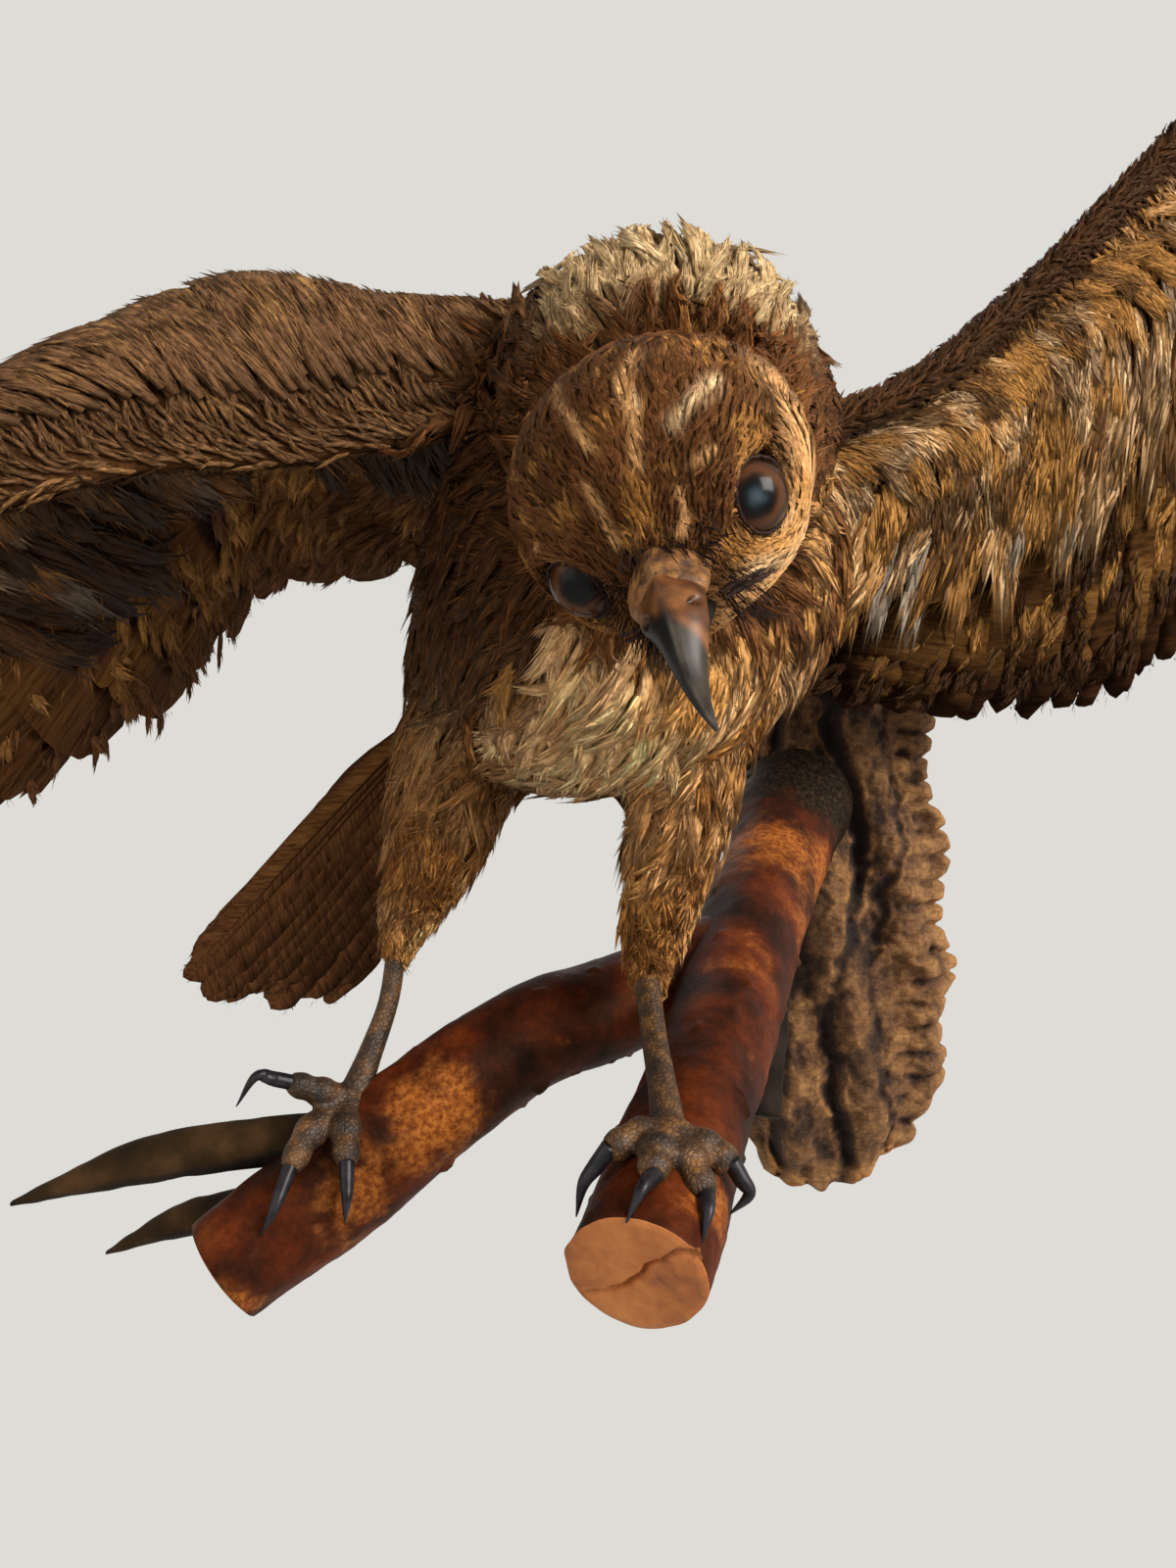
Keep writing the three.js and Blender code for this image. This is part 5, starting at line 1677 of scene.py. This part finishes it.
for side, (centre, opening, pupil) in EYES.items():
    bpy.ops.mesh.primitive_uv_sphere_add(segments=96, ring_count=64, radius=EYE_RADIUS * MM)
    ball = bpy.context.object
    ball.name = f"glass_eye_{side}"
    spots = read(ball.data.vertices, "co", 3)
    off = np.degrees(np.arccos(np.clip(unit(spots) @ unit(pupil), -1, 1)))
    off_middle = off + 2.5 * speckle(unit(spots) * 6, 1, 4)
    spots = from_head(spots / MM + centre) * MM
    ball.data.vertices.foreach_set("co", spots.astype(np.float32).ravel())
    ball.data.materials.append(glass)
    ball.data.polygons.foreach_set("use_smooth", np.ones(len(ball.data.polygons), bool))
    ring = paint(PUPIL[side])
    for start, end, code in IRIS_RINGS:
        ring = blend_in(ring, paint(code), fade(off_middle, start, end))
    tint(ball, "iris", ring)
    stand_in(ball, "eye_glass", f"eye_{side}")
    points, faces = lid_ring(centre, unit(opening))
    lid = piece(f"lid_{side}", from_head(points), faces, lid_finish)
    stand_in(lid, "scaled_skin")

cere_finish, tree, shader = blank_finish("dry_cere", 0.5)
where = place_on(tree)
cloud = noise(tree, where, 230, 6, Roughness=0.65)
stain = ramp(tree, cloud, [
    (0.32, "1e130b"), (0.45, "553619"), (0.56, "835629"), (0.68, "9c6c38"), (0.8, "6b5238"),
])
feed(tree, shader, dirtied(tree, stain, cells(tree, where, 420), 0.05, 0.2, "4a382c"), cloud, 0.5, 0.0008)
bill_horn, tree, shader = blank_finish("bill_horn", 0.38, 0.3)
cloud = noise(tree, place_on(tree), 260, 5)
feed(tree, shader, dirtied(tree, stored(tree, "horn", "Color"), cloud, 0.35, 0.65, "96908a", "e8e0d6"))
NOSTRIL_ALONG, NOSTRIL_UP = 31.3, 2.4


def headed(stations):
    """Stations given in the head's frame, placed."""
    return [(*from_head(s[:3]), *s[3:]) for s in stations]


def culmen(t, angle):
    """A bill's section: a ridge on top and flat cheeks."""
    return 1 - 0.10 * np.abs(np.sin(2 * angle)) + 0.06 * np.exp(-((angle - math.pi / 2) / 0.25) ** 2) + 0 * t


def nostril(rings):
    """Sinks a slit into each cheek of the bill's root."""
    face = to_head(rings)
    for cheek in (1, -1):
        along, up = face[..., 0] - NOSTRIL_ALONG, face[..., 2] - NOSTRIL_UP
        slit = np.exp(-((along + 0.4 * up) / 1.5) ** 2 - ((up - 0.4 * along) / 0.8) ** 2)
        face[..., 1] -= cheek * 2.0 * (slit * (face[..., 1] * cheek > 3))
    return from_head(face)


# Forms of the bill in the head's own frame: x, y, z, half width, half height up and down.
CERE = [
    (7, 0, -1, 9.6, 9, 6), (14, 0, 0, 9.2, 8.0, 6.4), (21, 0, 0.4, 8.6, 7.2, 6.2),
    (28.5, 0.4, 0.4, 6.2, 5.6, 5.0),
]
UPPER_BILL = [
    (24, 0.3, 0.4, 7.0, 6.2, 5.6), (28, 0.6, 0.3, 6.9, 6.2, 5.7), (34, 1.6, -0.6, 5.6, 5.5, 5.2),
    (40.5, 1.2, -4, 3.5, 3.8, 4.2), (44.6, 0.6, -9.5, 1.8, 2.1, 2.4), (45.2, 0.2, -16, 0.5),
]
LOWER_BILL = [(8, 0, -8, 7.6, 3.4, 3), (20, 0, -8, 5.2, 3, 2.4), (30, 0, -7, 2.4, 2, 1.6)]
rings = roughened(limb(headed(CERE), HEAD_AXES[1], 90, 80, shape=culmen), 0.35, 2.6, 3)
cere = piece("cere_skin", *shell(rings), cere_finish)
stand_in(cere, "cere_skin", "cere")
points, faces = shell(nostril(limb(headed(UPPER_BILL), HEAD_AXES[1], 110, 72, shape=culmen)))
upper = piece("upper_bill_horn", points, faces, bill_horn)
face = to_head(points)
worn = fade(face[:, 0] - 0.85 * (face[:, 1] + 1.9) + 0.9 * speckle(face, 2.4, 2), 32, 34.5)
off_ridge = face[:, 1] - np.interp(face[:, 0], [24, 34, 40.5, 44.6], [0.3, 1.6, 1.2, 0.6])
ridge = np.exp(-((off_ridge - 0.2) / 0.45) ** 2) * fade(face[:, 0], 34, 37)
# Painted light on the bill: its left side, towards the window, is grey-brown and its right side near black,
# as painted light and shade, and a painted highlight runs along the ridge.
black = blend_in(paint("0b0a0c"), paint("3f3830"), fade(off_ridge, 0.1, 1.0))
black = blend_in(black, paint("6c6862"), 0.7 * ridge)
rusty = blend_in(paint("6f4422"), paint("8c5c32"), fade(speckle(face, 2.5, 6), -0.3, 0.4))
# The nostril openings are painted near black: painted shade inside them.
pit = np.exp(-((face[:, 0] - NOSTRIL_ALONG) / 1.5) ** 2 - ((face[:, 2] - NOSTRIL_UP) / 1.0) ** 2)
horn_tone = blend_in(blend_in(rusty, black, worn), paint("0c0704"), pit * (np.abs(face[:, 1]) > 3))
tint(upper, "horn", horn_tone)
stand_in(upper, "horn", "upper_bill")
points, faces = shell(limb(headed(LOWER_BILL), HEAD_AXES[1], 40, 40))
lower = piece("lower_bill_horn", points, faces, bill_horn)
tint(lower, "horn", np.tile(paint("241d18"), (len(points), 1)))
stand_in(lower, "horn", "lower_bill")

# Two folds of dark skin run back from each corner of the gape: x, y, z and half width.
GAPE = [(19, 8.0, -6, 0.35), (14.5, 11.4, -8, 0.55), (10, 14.8, -10.4, 0.5), (5.5, 18.0, -12.8, 0.15)]
for side, out in (("left", 1), ("right", -1)):
    for number, drop in enumerate((0.7, -0.9)):
        rings = limb(headed([(x, y * out, z + drop, wide) for x, y, z, wide in GAPE]), HEAD_AXES[2], 60, 16)
        lip = piece(f"gape_lip_{side}_{number + 1}", *shell(roughened(rings, 0.3, 1.7, 4)), lid_finish)
        stand_in(lip, "scaled_skin")

# Stiff dark bristles stand round the cere, between bill and eyes and along the gape.
BRISTLES, LAST_CHEEK_BRISTLE = 480, 420
bristles, bristle_faces = [], []
for number in range(BRISTLES):
    cheek = 1 if number % 2 else -1
    x, z = draw.uniform(2, 19), draw.uniform(-16, 7)
    wide, forward = draw.uniform(7, 12), (0.8, cheek * 0.35, -0.75 if z < -3 else -0.25)
    on_brow = number > LAST_CHEEK_BRISTLE
    if on_brow:
        x, z, wide = draw.uniform(14, 20), draw.uniform(6, 13), draw.uniform(0, 8)
        forward = (0.8, cheek * 0.2, -0.5)
    root, normal, _ = on_skin(from_head([(x, cheek * wide, z)]))
    face, out = to_head(root)[0], normal[0] @ HEAD_AXES.T
    way = unit(np.array(forward) + out * (0.3 if on_brow else 0.45) + draw.normal(0, 0.22, 3))
    tip = face + way * draw.uniform(4, 8.5)
    bend = (face + tip) / 2 + out * 0.8
    thin = unit(np.cross(way, out)) * 0.13
    first = len(bristles)
    bristles += [face - thin, face + thin, face + out * 0.15 - way * 0.3]
    bristles += [bend - thin * 0.8, bend + thin * 0.8, bend + out * 0.15, tip]
    for a, b in ((0, 1), (1, 2), (2, 0)):
        bristle_faces += [(first + a, first + b, first + b + 3), (first + a, first + b + 3, first + a + 3),
                          (first + a + 3, first + b + 3, first + 6)]
    bristle_faces.append((first, first + 2, first + 1))
bristles, bristle_faces = from_head(np.array(bristles)), np.array(bristle_faces)
made = piece("face_bristles", bristles, bristle_faces, lid_finish)
stand_in(made, "contour_feathers")
lay_flat(made, on_skin(bristles)[2], bristle_faces)
